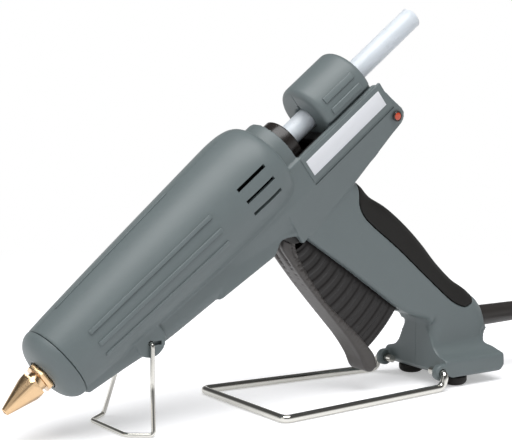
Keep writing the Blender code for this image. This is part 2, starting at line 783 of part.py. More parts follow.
def make_outer_form():
    outer = [(station, barrel_radius(station)) for station in reversed(barrel_stations())]
    profile = [(NECK_REAR, 0.0), (NECK_REAR, NECK_RADIUS)] + outer + [(BARREL_FRONT, 0.0)]
    form = turned("housing_left", profile, material="grey_housing", steps=FINE_STEPS)
    add(form, plate("body_form", handle_outline(), -KEEL_HALF_WIDTH, KEEL_HALF_WIDTH, fillet=KEEL_FILLET))
    cut(form, plate("grip_room", grip_zone(0.0), -BASE_HALF_WIDTH, BASE_HALF_WIDTH))
    add(form, plate("core_form", core_outline(), -CORE_HALF_WIDTH, CORE_HALF_WIDTH))
    add(form, make_arm_form(), make_base_form(), *make_ribs())
    x = BAIL_PIVOT[0]
    z = BAIL_PIVOT[1] + BOSS_DISC_RISE
    for side, (low, high) in both_sides(WALL, BOSS_DISC_FACE).items():
        add(form, rod(f"bail_boss_{side}", (x, low, z), (x, high, z), BOSS_DISC_RADIUS))
    return settle(form)


def arm_back():
    """Back of the arm in stations and heights, from its top edge round to the handle."""
    height = ARM_BOTTOM - ARM_TOP
    return [(ARM_FRONT + along * ARM_LENGTH, ARM_TOP + down * height) for along, down in ARM_BACK_SHARES]


def arm_outline():
    return [(ARM_FRONT - OVERRUN, ARM_TOP)] + arm_back() + [(ARM_FRONT - OVERRUN, ARM_BOTTOM)]


def arm_cavity_outline():
    """Hollow below the trough's floor, as stations and heights."""
    top = TROUGH_FLOOR - WALL
    back = inset(arm_outline(), WALL)[3:-1]
    below = [point for point in back if point[1] < top]
    return [(NECK_REAR, top), (back[0][0], top)] + below + [(NECK_REAR, back[-1][1])]


def make_arm_form():
    """Feed arm: its cross-section run along the barrel's line and trimmed to its side view."""
    waist = [(ARM_HALF_WIDTH, ARM_TOP), (ARM_HALF_WIDTH, ARM_WAIST), (KEEL_HALF_WIDTH, ARM_BOTTOM)]
    section = waist + [(-across, up) for across, up in reversed(waist)]
    arm = plate("arm_form", section, ARM_FRONT, ARM_REAR, ARM_SECTION)
    return settle(keep(arm, plate("arm_side", side_points(arm_outline()), -BASE_HALF_WIDTH, BASE_HALF_WIDTH)))


def make_base_form():
    """Flared foot: its front view run backwards and trimmed to its side view, with the stand's lugs."""
    half = [(across * BASE_HALF_WIDTH, BASE_FLOOR + up * BASE_RISE) for across, up in BASE_SECTION_SHARES]
    section = half + [(-across, up) for across, up in reversed(half[1:])]
    base = plate("base_form", section, BASE_FRONT, BASE_BACK + OVERRUN, FRONT_VIEW)
    top = BASE_TOP + OVERRUN
    side = [(BASE_FRONT, top), (BASE_FRONT, BASE_FRONT_FLOOR), (BASE_FRONT + BASE_FLOOR, BASE_FLOOR)]
    side += [point for point in base_back_run() if point[1] < BASE_TOP] + [(CAVITY_BACK, top)]
    keep(base, plate("base_side", side, -BASE_HALF_WIDTH - OVERRUN, BASE_HALF_WIDTH + OVERRUN))
    x, z = STAND_PIVOT
    for name, (low, high) in both_sides(BASE_HALF_WIDTH - STAND_LUG_LENGTH, BASE_HALF_WIDTH).items():
        add(base, rod(f"stand_lug_{name}", (x, low, z), (x, high, z), STAND_LUG_RADIUS))
    return settle(base)


def flank_matrix(angle, side):
    """Frame with local +X out of one flank, at an angle in degrees above the horizontal."""
    turn = math.radians(90.0 + angle) * (1 if side == "far" else -1)
    return BARREL_AXIS @ Matrix.Rotation(turn, 4, "Z")


def make_ribs():
    """Raised bars that follow the barrel's swelling sides."""
    stations = [RIB_START + RIB_LENGTH * k / RIB_STEPS for k in range(RIB_STEPS + 1)]
    outline = [(barrel_radius(station) + RIB_HEIGHT, station) for station in stations]
    outline += [(barrel_radius(station) - WALL / 2, station) for station in reversed(stations)]
    half = RIB_WIDTH / 2
    return [plate(f"rib_{side}_{i}", outline, -half, half, flank_matrix(angle, side) @ SIDE_VIEW)
            for side in ("near", "far") for i, angle in enumerate(RIB_ANGLES)]


def hollow(housing):
    """Take the inside out of the barrel, the body and the handle's core."""
    front = BARREL_FRONT + WALL
    rear = NECK_FRONT - WALL
    inner = [(station, barrel_radius(station) - WALL) for station in reversed(barrel_stations())
             if front < station < rear]
    profile = [(rear, 0.0), (rear, NECK_RADIUS - WALL)] + inner + [(front, NOSE_RADIUS - WALL), (front, 0.0)]
    body_half = KEEL_HALF_WIDTH - WALL
    cut(housing, turned("barrel_cavity", profile, steps=FINE_STEPS),
        plate("body_cavity", cavity_outline(), -body_half, body_half),
        plate("arm_cavity", side_points(arm_cavity_outline()), -body_half, body_half),
        plate("core_cavity", core_cavity_outline(), -CORE_CAVITY_HALF_WIDTH, CORE_CAVITY_HALF_WIDTH))
    settle(housing)


def brace(housing):
    """Columns from wall to wall that the housing's screws run in."""
    reach = KEEL_HALF_WIDTH - WALL / 2
    for name, (station, height) in SCREW_PLACES.items():
        ends = (on_axis(station, height, -reach), on_axis(station, height, reach))
        add(housing, rod(f"screw_column_{name}", *ends, BOSS_RADIUS))


def screw_wall(name):
    """Distance from the middle plane to the outer face that a screw's head sits in."""
    return ARM_HALF_WIDTH if name == "arm" else KEEL_HALF_WIDTH


def screw_seats():
    """Round recesses for the screw heads in the far half."""
    seats = []
    for name, (station, height) in SCREW_PLACES.items():
        face = screw_wall(name)
        floor = face - SCREW_RECESS - SCREW_HEAD_LENGTH - GAP
        seats.append(rod(f"screw_seat_{name}", on_axis(station, height, floor),
                         on_axis(station, height, face + OVERRUN), SCREW_HEAD_RADIUS + GAP))
    return seats


def open_up(housing):
    """Openings: nozzle, bush, trough, yoke, trigger, vents, labels, lamp, wires, cord and screws."""
    cut(housing,
        rod("spout_hole", on_axis(BARREL_FRONT - OVERRUN, 0.0), on_axis(BARREL_FRONT + WALL + OVERRUN, 0.0),
            CAP_HOLE_RADIUS, steps=ROUND_STEPS),
        rod("bush_hole", on_axis(NECK_FRONT - WALL - OVERRUN, 0.0), on_axis(NECK_REAR + OVERRUN, 0.0),
            BUSH_RADIUS + GAP, steps=ROUND_STEPS),
        axis_box("trough", (NECK_REAR, ARM_REAR + OVERRUN), (TROUGH_FLOOR, NECK_RADIUS + OVERRUN),
                 (-TROUGH_HALF_WIDTH, TROUGH_HALF_WIDTH)),
        plate("trigger_room", trigger_room(), -SLOT_HALF_WIDTH, SLOT_HALF_WIDTH),
        pivot_rod("hub_room", HUB_RADIUS + WALL / 2, KEEL_HALF_WIDTH - WALL))
    low = YOKE_HEIGHT - YOKE_HALF_HEIGHT - YOKE_WINDOW_FIT
    high = YOKE_HEIGHT + YOKE_HALF_HEIGHT + YOKE_WINDOW_FIT
    inner = YOKE_INNER - YOKE_WINDOW_FIT
    outer = YOKE_INNER + YOKE_THICKNESS + YOKE_WINDOW_FIT
    stations = (NECK_FRONT - WALL - OVERRUN, NECK_REAR + OVERRUN)
    for side, sides in both_sides(inner, outer).items():
        cut(housing, axis_box(f"yoke_window_{side}", stations, (low, high), sides))
    for side in ("near", "far"):
        for i, angle in enumerate(VENT_ANGLES):
            cut(housing, box(f"vent_{side}_{i}", (NECK_RADIUS, -VENT_WIDTH / 2, VENT_START),
                             (BELLY_RADIUS + OVERRUN, VENT_WIDTH / 2, VENT_START + VENT_LENGTH),
                             flank_matrix(angle, side)))
    stations = (LABEL_START - GAP, LABEL_END + GAP)
    heights = (LABEL_MIDDLE - LABEL_WIDTH / 2 - GAP, LABEL_MIDDLE + LABEL_WIDTH / 2 + GAP)
    for side, span_ in both_sides(ARM_HALF_WIDTH - LABEL_RECESS, ARM_HALF_WIDTH + OVERRUN).items():
        cut(housing, axis_box(f"label_recess_{side}", stations, heights, span_))
    inside = KEEL_HALF_WIDTH - WALL - OVERRUN
    cut(housing, rod("lamp_hole", on_axis(LAMP_STATION, LAMP_HEIGHT, -ARM_HALF_WIDTH - OVERRUN),
                     on_axis(LAMP_STATION, LAMP_HEIGHT, -inside), LAMP_RADIUS + GAP))
    x, z = BAIL_PIVOT
    cut(housing, rod("bail_hole", (x, -BASE_HALF_WIDTH, z), (x, BASE_HALF_WIDTH, z), BAIL_WIRE_RADIUS + GAP))
    x, z = STAND_PIVOT
    for side, (low, high) in both_sides(STAND_END - OVERRUN, BASE_HALF_WIDTH + OVERRUN).items():
        cut(housing, rod(f"stand_hole_{side}", (x, low, z), (x, high, z), STAND_WIRE_RADIUS + GAP))
    cut(housing, rod("cord_hole", (RELIEF_SEAT - OVERRUN, 0.0, CORD_HEIGHT),
                     (BASE_BACK + OVERRUN, 0.0, CORD_HEIGHT), RELIEF_RADIUS + GAP, steps=ROUND_STEPS))
    for name, (station, height) in SCREW_PLACES.items():
        ends = (on_axis(station, height, -SCREW_DEPTH - GAP), on_axis(station, height, ARM_HALF_WIDTH + OVERRUN))
        cut(housing, rod(f"screw_hole_{name}", *ends, SCREW_SHANK_RADIUS + GAP, steps=8))


def trigger_room():
    """Side view of the space that the trigger swings through."""
    sweep = arc(PIVOT, SLOT_RADIUS, SLOT_BOTTOM_ANGLE, SLOT_TOP_ANGLE, 8)
    hub = arc(PIVOT, HUB_RADIUS + WALL, SLOT_TOP_ANGLE + math.pi / 2, math.pi + SLOT_BOTTOM_ANGLE / 2, 6)
    return sweep + hub + [(ARCH_START[0], ARCH_START[1])]


def make_grip():
    """Rubber back of the handle: the handle's own rounded form, cut to a shell over its core."""
    grip = plate("rubber_grip", handle_outline(), -KEEL_HALF_WIDTH, KEEL_HALF_WIDTH, material="black_rubber",
                 fillet=KEEL_FILLET)
    keep(grip, plate("grip_trim", grip_zone(GAP), -BASE_HALF_WIDTH, BASE_HALF_WIDTH))
    half = CORE_HALF_WIDTH + GAP
    cut(grip, plate("grip_core", core_outline(GAP), -half, half))
    return settle(grip)


def make_front():
    """Cap, nozzle and the washer between them."""
    rear = BARREL_FRONT - GAP
    dome = [(rear - CAP_LENGTH * along, NOSE_RADIUS * across) for along, across in CAP_SHARES[:-1]]
    inner = [(rear - (CAP_LENGTH - CAP_WALL) * along, (NOSE_RADIUS - CAP_WALL) * across)
             for along, across in reversed(CAP_SHARES[:-1])]
    turned("front_cap", dome + [(CAP_FRONT, NOSE_RADIUS * CAP_SHARES[-1][1]), (CAP_FRONT, CAP_HOLE_RADIUS),
                                (CAP_FRONT + CAP_WALL, CAP_HOLE_RADIUS)] + inner,
           material="grey_housing", steps=FINE_STEPS, ring=True)
    rod("nozzle_washer", on_axis(FLANGE_REAR + GAP, 0.0), on_axis(FLANGE_REAR + GAP + WASHER_THICKNESS, 0.0),
        WASHER_RADIUS, "zinc_steel", bore=SPOUT_BORE_RADIUS)
    cone_rear = NOZZLE_TIP + NOZZLE_CONE_LENGTH
    flange_front = FLANGE_REAR - FLANGE_LENGTH
    neck_rear = FLANGE_REAR - FLANGE_LENGTH / 2
    profile = [(neck_rear, 0.0), (neck_rear, NOZZLE_NECK_RADIUS), (cone_rear, NOZZLE_NECK_RADIUS),
               (cone_rear, NOZZLE_CONE_RADIUS), (NOZZLE_TIP, NOZZLE_TIP_RADIUS), (NOZZLE_TIP, 0.0)]
    nozzle = turned("nozzle", profile, material="brass")
    keep(nozzle, rod("nozzle_hexagon", on_axis(NOZZLE_TIP - OVERRUN, 0.0), on_axis(FLANGE_REAR, 0.0),
                     NOZZLE_CONE_HEX_RADIUS, steps=6))
    add(nozzle, rod("nozzle_flange", on_axis(flange_front, 0.0), on_axis(FLANGE_REAR, 0.0), FLANGE_RADIUS,
                    steps=6))
    cut(nozzle, rod("nozzle_bore", on_axis(NOZZLE_TIP - OVERRUN, 0.0), on_axis(FLANGE_REAR + OVERRUN, 0.0),
                    NOZZLE_BORE_RADIUS))
    settle(nozzle)


def make_heater():
    """Heater block with its melt chamber, the element clamped below it, the fuse and the supports."""
    spout_front = FLANGE_REAR + 2 * GAP + WASHER_THICKNESS
    block = turned("heater_block", [
        (HEATER_REAR, HEATER_RADIUS), (HEATER_FRONT, HEATER_RADIUS), (HEATER_FRONT, SPOUT_RADIUS),
        (spout_front, SPOUT_RADIUS), (spout_front, SPOUT_BORE_RADIUS), (MELT_FRONT, SPOUT_BORE_RADIUS),
        (MELT_FRONT, MELT_RADIUS), (HEATER_REAR, MELT_RADIUS)], material="aluminium", ring=True)
    rear = ELEMENT_FRONT + ELEMENT_LENGTH
    stations = (ELEMENT_FRONT, rear)
    cut(block, axis_box("element_flat", (ELEMENT_FRONT - GAP, rear + GAP),
                        (-HEATER_RADIUS - OVERRUN, HEATER_FLAT), (-HEATER_RADIUS, HEATER_RADIUS)))
    settle(block)
    top = HEATER_FLAT - GAP
    under = top - ELEMENT_THICKNESS
    half = ELEMENT_WIDTH / 2
    axis_box("heating_element", stations, (under, top), (-half, half), "ceramic")
    clamp = (under - GAP - CLAMP_THICKNESS, under - GAP)
    axis_box("element_clamp", stations, clamp, (-half, half), "zinc_steel")
    height = HEATER_RADIUS + GAP + FUSE_RADIUS
    fuse_end = on_axis(FUSE_STATION + FUSE_LENGTH, height)
    rod("thermal_fuse", on_axis(FUSE_STATION, height), fuse_end, FUSE_RADIUS, "zinc_steel")
    for name, station in zip(("front", "rear"), SUPPORT_STATIONS):
        outer = min(barrel_radius(station), barrel_radius(station + SUPPORT_LENGTH)) - WALL - GAP
        rod(f"heater_support_{name}", on_axis(station, 0.0), on_axis(station + SUPPORT_LENGTH, 0.0), outer,
            "ceramic", ROUND_STEPS, bore=HEATER_RADIUS + GAP)


def make_feed_way():
    """Bush, sleeve, stick, and the black lining of the arm's trough."""
    front = BUSH_REAR - BUSH_LENGTH
    rod("inlet_bush", on_axis(front, 0.0), on_axis(BUSH_REAR, 0.0), BUSH_RADIUS, "black_plastic", ROUND_STEPS,
        bore=BORE_RADIUS)
    rod("feed_sleeve", on_axis(HEATER_REAR + GAP, 0.0), on_axis(front - GAP, 0.0), SLEEVE_RADIUS, "ceramic",
        ROUND_STEPS, bore=BORE_RADIUS)
    rod("glue_stick", on_axis(STICK_FRONT, 0.0), on_axis(STICK_REAR, 0.0), STICK_RADIUS, "glue", ROUND_STEPS)
    outer = TROUGH_HALF_WIDTH - GAP
    floor = TROUGH_FLOOR + GAP
    inner = outer - CHANNEL_WALL
    top = floor + CHANNEL_WALL + CHANNEL_RISE
    half = [(outer, floor), (outer, top), (inner, top), (inner, floor + CHANNEL_WALL)]
    section = half + [(-across, up) for across, up in reversed(half)]
    plate("feed_channel", section, NECK_REAR + GAP, CARRIAGE_REAR, ARM_SECTION, "black_plastic")


def make_carriage():
    """Sliding collar with its grip bars, the jaw that bites the stick, and the yoke that pulls it."""
    rounded = [(CARRIAGE_ROUND * (1 - math.sin(turn)), CARRIAGE_ROUND * (1 - math.cos(turn)))
               for turn in (math.pi / 2 * k / 3 for k in range(4))]
    profile = [(CARRIAGE_REAR - along, CARRIAGE_RADIUS - inward) for along, inward in reversed(rounded)]
    profile += [(CARRIAGE_FRONT + along, CARRIAGE_RADIUS - inward) for along, inward in rounded]
    profile += [(CARRIAGE_FRONT, BORE_RADIUS), (CARRIAGE_REAR, BORE_RADIUS)]
    collar = turned("feed_carriage", profile, material="grey_housing", steps=FINE_STEPS, ring=True)
    middle = (CARRIAGE_FRONT + CARRIAGE_REAR) / 2
    stations = (CARRIAGE_FRONT - OVERRUN, CARRIAGE_REAR + OVERRUN)
    heights = (-CARRIAGE_RADIUS - OVERRUN, CARRIAGE_SHOULDER)
    reach = CARRIAGE_BAR_LENGTH / 2
    low = (CARRIAGE_RADIUS - WALL, -CARRIAGE_BAR_WIDTH / 2, middle - reach)
    high = (CARRIAGE_RADIUS + CARRIAGE_BAR_HEIGHT, CARRIAGE_BAR_WIDTH / 2, middle + reach)
    for side, sides in both_sides(CARRIAGE_FLAT, CARRIAGE_RADIUS + OVERRUN).items():
        cut(collar, axis_box(f"carriage_flat_{side}", stations, heights, sides))
        for i, angle in enumerate(CARRIAGE_BAR_ANGLES):
            add(collar, box(f"carriage_bar_{side}_{i}", low, high, flank_matrix(angle, side)))
    half = JAW_LENGTH / 2
    top = STICK_RADIUS + GAP + JAW_HEIGHT
    cut(collar, axis_box("jaw_pocket", (middle - half - GAP, middle + half + GAP), (0.0, top + GAP),
                         (-JAW_WIDTH / 2 - GAP, JAW_WIDTH / 2 + GAP)))
    settle(collar)
    axis_box("gripper_jaw", (middle - half, middle + half), (STICK_RADIUS + GAP, top),
             (-JAW_WIDTH / 2, JAW_WIDTH / 2), "zinc_steel")
    make_yoke()


def fork_lean():
    return PULL_ANGLE / 2


def yoke_pin_station():
    station, height = to_axis(*PIVOT)
    return station + (YOKE_HEIGHT - height) * math.tan(fork_lean())


def make_yoke():
    rear = CARRIAGE_FRONT - GAP
    pin = yoke_pin_station()
    heights = (YOKE_HEIGHT - YOKE_HALF_HEIGHT, YOKE_HEIGHT + YOKE_HALF_HEIGHT)
    sides = both_sides(YOKE_INNER, YOKE_INNER + YOKE_THICKNESS)
    yoke = axis_box("feed_yoke", (pin - YOKE_NOSE, rear), heights, sides["near"], "black_plastic")
    add(yoke, axis_box("yoke_far_bar", (pin - YOKE_NOSE, rear), heights, sides["far"]),
        axis_box("yoke_bridge", (rear - YOKE_BRIDGE_LENGTH, rear), (heights[0], YOKE_HEIGHT),
                 (-YOKE_INNER - YOKE_THICKNESS / 2, YOKE_INNER + YOKE_THICKNESS / 2)))
    for side, (low, high) in both_sides(FORK_INNER, YOKE_INNER + YOKE_THICKNESS / 2).items():
        add(yoke, rod(f"yoke_pin_{side}", on_axis(pin, YOKE_HEIGHT, low), on_axis(pin, YOKE_HEIGHT, high),
                      YOKE_PIN_RADIUS))
    return settle(yoke)


def lever_outline():
    shares = LEVER_FRONT_SHARES + LEVER_END_SHARES + LEVER_BACK_SHARES
    return span(TRIGGER_TOP, TRIGGER_REACH, TRIGGER_DROP, shares)


def pivot_rod(name, radius, half_width, steps=ROUND_STEPS):
    x, z = PIVOT
    return rod(name, (x, -half_width, z), (x, half_width, z), radius, steps=steps)


def make_trigger():
    """Lever, web and the fork whose hub turns on the pivot pin."""
    hub_half = FORK_INNER + FORK_THICKNESS
    lever = plate("trigger_lever", lever_outline(), -TRIGGER_HALF_WIDTH, TRIGGER_HALF_WIDTH,
                  material="dark_grip_plastic", fillet=TRIGGER_FILLET)
    settle(cut(lever, pivot_rod("lever_seat", HUB_RADIUS + GAP, hub_half)))
    make_web(hub_half)
    make_fork(hub_half)
    x, z = PIVOT
    reach = KEEL_HALF_WIDTH - WALL - GAP
    rod("trigger_pin", (x, -reach, z), (x, reach, z), PIN_RADIUS, "zinc_steel")
    radius = PIN_RADIUS + 3 * GAP + SPRING_WIRE_RADIUS
    steps = SPRING_TURNS * SPRING_POINTS
    turns = [2 * math.pi * k / SPRING_POINTS for k in range(steps + 1)]
    sides = [SPRING_HALF_WIDTH * (2 * k / steps - 1) for k in range(steps + 1)]
    path = [(x + radius * math.cos(turn), y, z + radius * math.sin(turn)) for turn, y in zip(turns, sides)]
    tube("return_spring", path, SPRING_WIRE_RADIUS, "steel_wire", resolution=1)


def make_web(hub_half):
    """Black web behind the lever; its far edge follows the swing about the pivot."""
    root = inset(lever_outline(), LEVER_OVERLAP)
    back = root[len(LEVER_FRONT_SHARES) + len(LEVER_END_SHARES):-1]
    start = math.atan2(back[0][1] - PIVOT[1], back[0][0] - PIVOT[0])
    inner = (PIVOT[0] + WEB_INNER_RADIUS * math.cos(WEB_REST_ANGLE),
             PIVOT[1] + WEB_INNER_RADIUS * math.sin(WEB_REST_ANGLE))
    outline = arc(PIVOT, WEB_RADIUS, start, WEB_REST_ANGLE, WEB_STEPS) + [inner] + list(reversed(back))
    web = plate("trigger_web", outline, -WEB_HALF_WIDTH, WEB_HALF_WIDTH, material="black_plastic")
    cut(web, plate("web_lever_room", inset(lever_outline(), -GAP), -TRIGGER_HALF_WIDTH - GAP,
                   TRIGGER_HALF_WIDTH + GAP),
        pivot_rod("web_seat", HUB_RADIUS + GAP, hub_half))
    return settle(web)


def make_fork(hub_half):
    """Hub with a pocket for the spring, and two slotted arms that push the yoke's pins."""
    x, z = PIVOT
    bore = PIN_RADIUS + PIVOT_FIT
    pocket = HUB_POCKET_HALF_WIDTH
    frame = Matrix.Translation((x, 0.0, z)) @ Matrix.Rotation(-math.pi / 2, 4, "X")
    fork = turned("trigger_fork", [
        (hub_half, HUB_RADIUS), (-hub_half, HUB_RADIUS), (-hub_half, bore), (-pocket, bore),
        (-pocket, HUB_POCKET_RADIUS), (pocket, HUB_POCKET_RADIUS), (pocket, bore), (hub_half, bore)],
        frame, "zinc_steel", ring=True)
    station, height = to_axis(*PIVOT)
    lean = fork_lean()

    def on_arm(along, across):
        return (station + along * math.sin(lean) + across * math.cos(lean),
                height + along * math.cos(lean) - across * math.sin(lean))

    top = (FORK_TOP - height) / math.cos(lean)
    pin_at = (YOKE_HEIGHT - height) / math.cos(lean)
    slot_half = YOKE_PIN_RADIUS + YOKE_PIN_FIT
    slot_floor = pin_at - slot_half - GAP
    wide = FORK_HALF_WIDTH
    root = HUB_RADIUS / 2 + bore
    corners = ((root, -wide), (root, wide), (top, wide), (top, slot_half), (slot_floor, slot_half),
               (slot_floor, -slot_half), (top, -slot_half), (top, -wide))
    arm = side_points([on_arm(along, across) for along, across in corners])
    for side, (low, high) in both_sides(FORK_INNER, hub_half).items():
        add(fork, plate(f"fork_arm_{side}", arm, low, high))
    return settle(fork)


def make_labels_and_lamp():
    """Bare label plates in their recesses, the lamp's lens and its board, and the terminal block."""
    stations = (LABEL_START, LABEL_END)
    heights = (LABEL_MIDDLE - LABEL_WIDTH / 2, LABEL_MIDDLE + LABEL_WIDTH / 2)
    floor = ARM_HALF_WIDTH - LABEL_RECESS + GAP
    for side, name in (("near", "label_plate_left"), ("far", "label_plate_right")):
        axis_box(name, stations, heights, both_sides(floor, floor + LABEL_THICKNESS)[side], "label_white")
    front = -ARM_HALF_WIDTH - LAMP_PROUD
    back = WALL + GAP - KEEL_HALF_WIDTH
    rod("indicator_lamp", on_axis(LAMP_STATION, LAMP_HEIGHT, front), on_axis(LAMP_STATION, LAMP_HEIGHT, back),
        LAMP_RADIUS, "lamp_red")
    near = back + GAP
    axis_box("lamp_board", (LAMP_STATION - BOARD_LENGTH, LAMP_STATION + LAMP_RADIUS / 2),
             (LAMP_HEIGHT - BOARD_HEIGHT / 2, LAMP_HEIGHT + BOARD_HEIGHT / 2), (near, near + BOARD_THICKNESS),
             "board_green")
    length, width, height = BLOCK_SIZE
    back = CAVITY_BACK - BLOCK_BACK_ROOM
    bottom = CAVITY_FLOOR + WALL + GAP
    box("terminal_block", (back - length, -width / 2, bottom), (back, width / 2, bottom + height),
        material="ceramic")


def make_screws():
    for name, (station, height) in SCREW_PLACES.items():
        head = screw_wall(name) - SCREW_RECESS
        under = head - SCREW_HEAD_LENGTH
        place = Matrix.Translation(on_axis(station, height, 0.0)) @ Matrix.Rotation(-math.pi / 2, 4, "X")
        turned(f"housing_screw_{name}", [
            (head, 0.0), (head, SCREW_HEAD_RADIUS), (under, SCREW_HEAD_RADIUS), (under, SCREW_SHANK_RADIUS),
            (-SCREW_DEPTH, SCREW_SHANK_RADIUS), (-SCREW_DEPTH, 0.0)], place, "zinc_steel", SMALL_STEPS)


def make_bail():
    """Front wire bail: both ends turned in on the pivot, legs spread to a foot with a short toe."""
    x, z = BAIL_PIVOT
    floor = BAIL_WIRE_RADIUS
    half = [(x, BAIL_END, z), (x, BAIL_LEG, z),
            (x + BAIL_KINK_SHIFT, BAIL_LEG + BAIL_KINK_SPREAD, z - BAIL_KINK_DROP),
            (x + BAIL_FOOT_SHIFT, BAIL_LEG + BAIL_FOOT_SPREAD, floor),
            (x + BAIL_TOE_SHIFT, BAIL_TOE_HALF_WIDTH, floor)]
    path = rounded_path([(px, -py, pz) for px, py, pz in half] + list(reversed(half)), BAIL_CORNER)
    tube("front_bail", path, BAIL_WIRE_RADIUS, "steel_wire")


def make_stand():
    """Rear wire loop: both ends turned in through the foot's lugs, a wide bar across the front."""
    x, z = STAND_PIVOT
    floor = STAND_WIRE_RADIUS
    heel = BASE_HALF_WIDTH + GAP + STAND_WIRE_RADIUS
    half = [(x, STAND_END, z), (x, heel, z), (x - STAND_HEEL_SHIFT, heel, floor),
            (x - STAND_LENGTH, STAND_HALF_WIDTH, floor)]
    path = rounded_path([(px, -py, pz) for px, py, pz in half] + list(reversed(half)), STAND_CORNER)
    tube("rear_stand", path, STAND_WIRE_RADIUS, "steel_wire")


def make_feet():
    top = BASE_FLOOR - GAP
    profile = [(top, 0.0)] + [(top * up, FOOT_RADIUS * across) for up, across in FOOT_SHARES] + [(0.0, 0.0)]
    x, y = FOOT_PLACE
    for name, side in (("left", -y), ("right", y)):
        place = Matrix.Translation((x, side, 0.0))
        turned(f"rubber_foot_{name}", profile, place, "black_rubber", SMALL_STEPS)


def coil_path():
    """Centre line of the coil: it spirals in on the floor, climbs a layer, and spirals out again."""
    start = Vector(CORD_ROUTE[-1])
    lead = 2 * CORD_RADIUS
    centre = start + Vector((lead + GAP, -COIL_OUTER, 0.0))
    inward = COIL_TURNS_PER_LAYER * COIL_POINTS
    climb = COIL_POINTS // 2
    path = [start + Vector((GAP, 0.0, 0.0))]
    total = 2 * inward + climb
    for k in range(total + 1):
        turn = math.pi / 2 - 2 * math.pi * k / COIL_POINTS
        rise = min(max((k - inward) / climb, 0.0), 1.0)
        radius = COIL_OUTER - COIL_PITCH * min(k, total - k) / COIL_POINTS
        height = COIL_LAYER_RISE * rise
        path.append(centre + Vector((radius * math.cos(turn), radius * math.sin(turn), height)))
    last = path[-1]
    tail = COIL_OUTER + CORD_RADIUS + GAP - PLUG_COLLAR_LENGTH
    path += [last + Vector((-lead, 0.0, 0.0)), last + Vector((-tail, 0.0, 0.0))]
    return path


def least_gap(path, radius, skip):
    """Least distance between the surfaces of loops that aren't neighbours along the path."""
    least = None
    for i, point in enumerate(path):
        for other in path[i + skip:]:
            gap = (other - point).length - 2 * radius
            if least is None or gap < least:
                least = gap
    return least


def make_cord():
    """Strain relief, the free stretch to the floor, the coil of spare cord and the plug."""
    profile = [(RELIEF_END, 0.0), (RELIEF_END, RELIEF_TIP_RADIUS), (RELIEF_SEAT, RELIEF_RADIUS),
               (RELIEF_SEAT, 0.0)]
    place = Matrix.Translation((0.0, 0.0, CORD_HEIGHT)) @ Matrix.Rotation(math.pi / 2, 4, "Y")
    turned("strain_relief", profile, place, "cord_black")
    route = smooth_path(CORD_ROUTE, CORD_POINT_STEP)
    tube("mains_cord", route, CORD_RADIUS, "cord_black")
    coil = coil_path()
    tube("cord_coil", coil, CORD_RADIUS, "cord_black", resolution=1)
    print("least gap between the coil's loops:", least_gap(coil, CORD_RADIUS, COIL_POINTS // 3))
    lengths = [sum((b - a).length for a, b in zip(line, line[1:])) for line in (route, coil)]
    print("cord lengths, free and coiled:", lengths)
    make_plug(coil[-1])


def make_plug(end):
    """Plug at the end of the coil: a round collar, a rounded body and two round pins."""
    collar_start = end.x - GAP
    face = collar_start - PLUG_COLLAR_LENGTH - PLUG_LENGTH
    collar_end = collar_start - PLUG_COLLAR_LENGTH
    half = PLUG_WIDTH / 2
    outline = [(face, end.y - half), (collar_end - PLUG_FILLET, end.y - half), (collar_end, end.y - half / 2),
               (collar_end, end.y + half / 2), (collar_end - PLUG_FILLET, end.y + half), (face, end.y + half)]
    body = plate("plug_body", outline, 0.0, PLUG_HEIGHT, Matrix.Identity(4), "black_plastic", PLUG_FILLET)
    middle = PLUG_HEIGHT / 2
    add(body, rod("plug_collar", (collar_end - PLUG_FILLET, end.y, middle), (collar_start, end.y, middle),
                  PLUG_COLLAR_RADIUS))
    settle(body)
    tip = face - GAP - PLUG_PIN_LENGTH
    for name, side in (("left", -PLUG_PIN_SPACING / 2), ("right", PLUG_PIN_SPACING / 2)):
        y = end.y + side
        rod(f"plug_pin_{name}", (tip, y, middle), (face - GAP, y, middle), PLUG_PIN_RADIUS, "zinc_steel")


def main():
    make_housing()
    make_grip()
    make_front()
    make_heater()
    make_feed_way()
    make_carriage()
    make_trigger()
    make_labels_and_lamp()
    make_screws()
    make_bail()
    make_stand()
    make_feet()
    make_cord()


main()
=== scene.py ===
"""Hot glue applicator: the surfaces, cord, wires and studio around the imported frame.

Laid out as an add-on and run as a script. Shapes are made in the gun's own drawing frame,
whose X = 0 is the front bar of the wire stand, and moved into the frame's place at the end.
"""

import json
import math

import bmesh
import bpy
from bpy.props import FloatProperty, FloatVectorProperty, IntProperty, PointerProperty
from bpy.types import Operator, Panel, PropertyGroup
from mathutils import Matrix, Vector


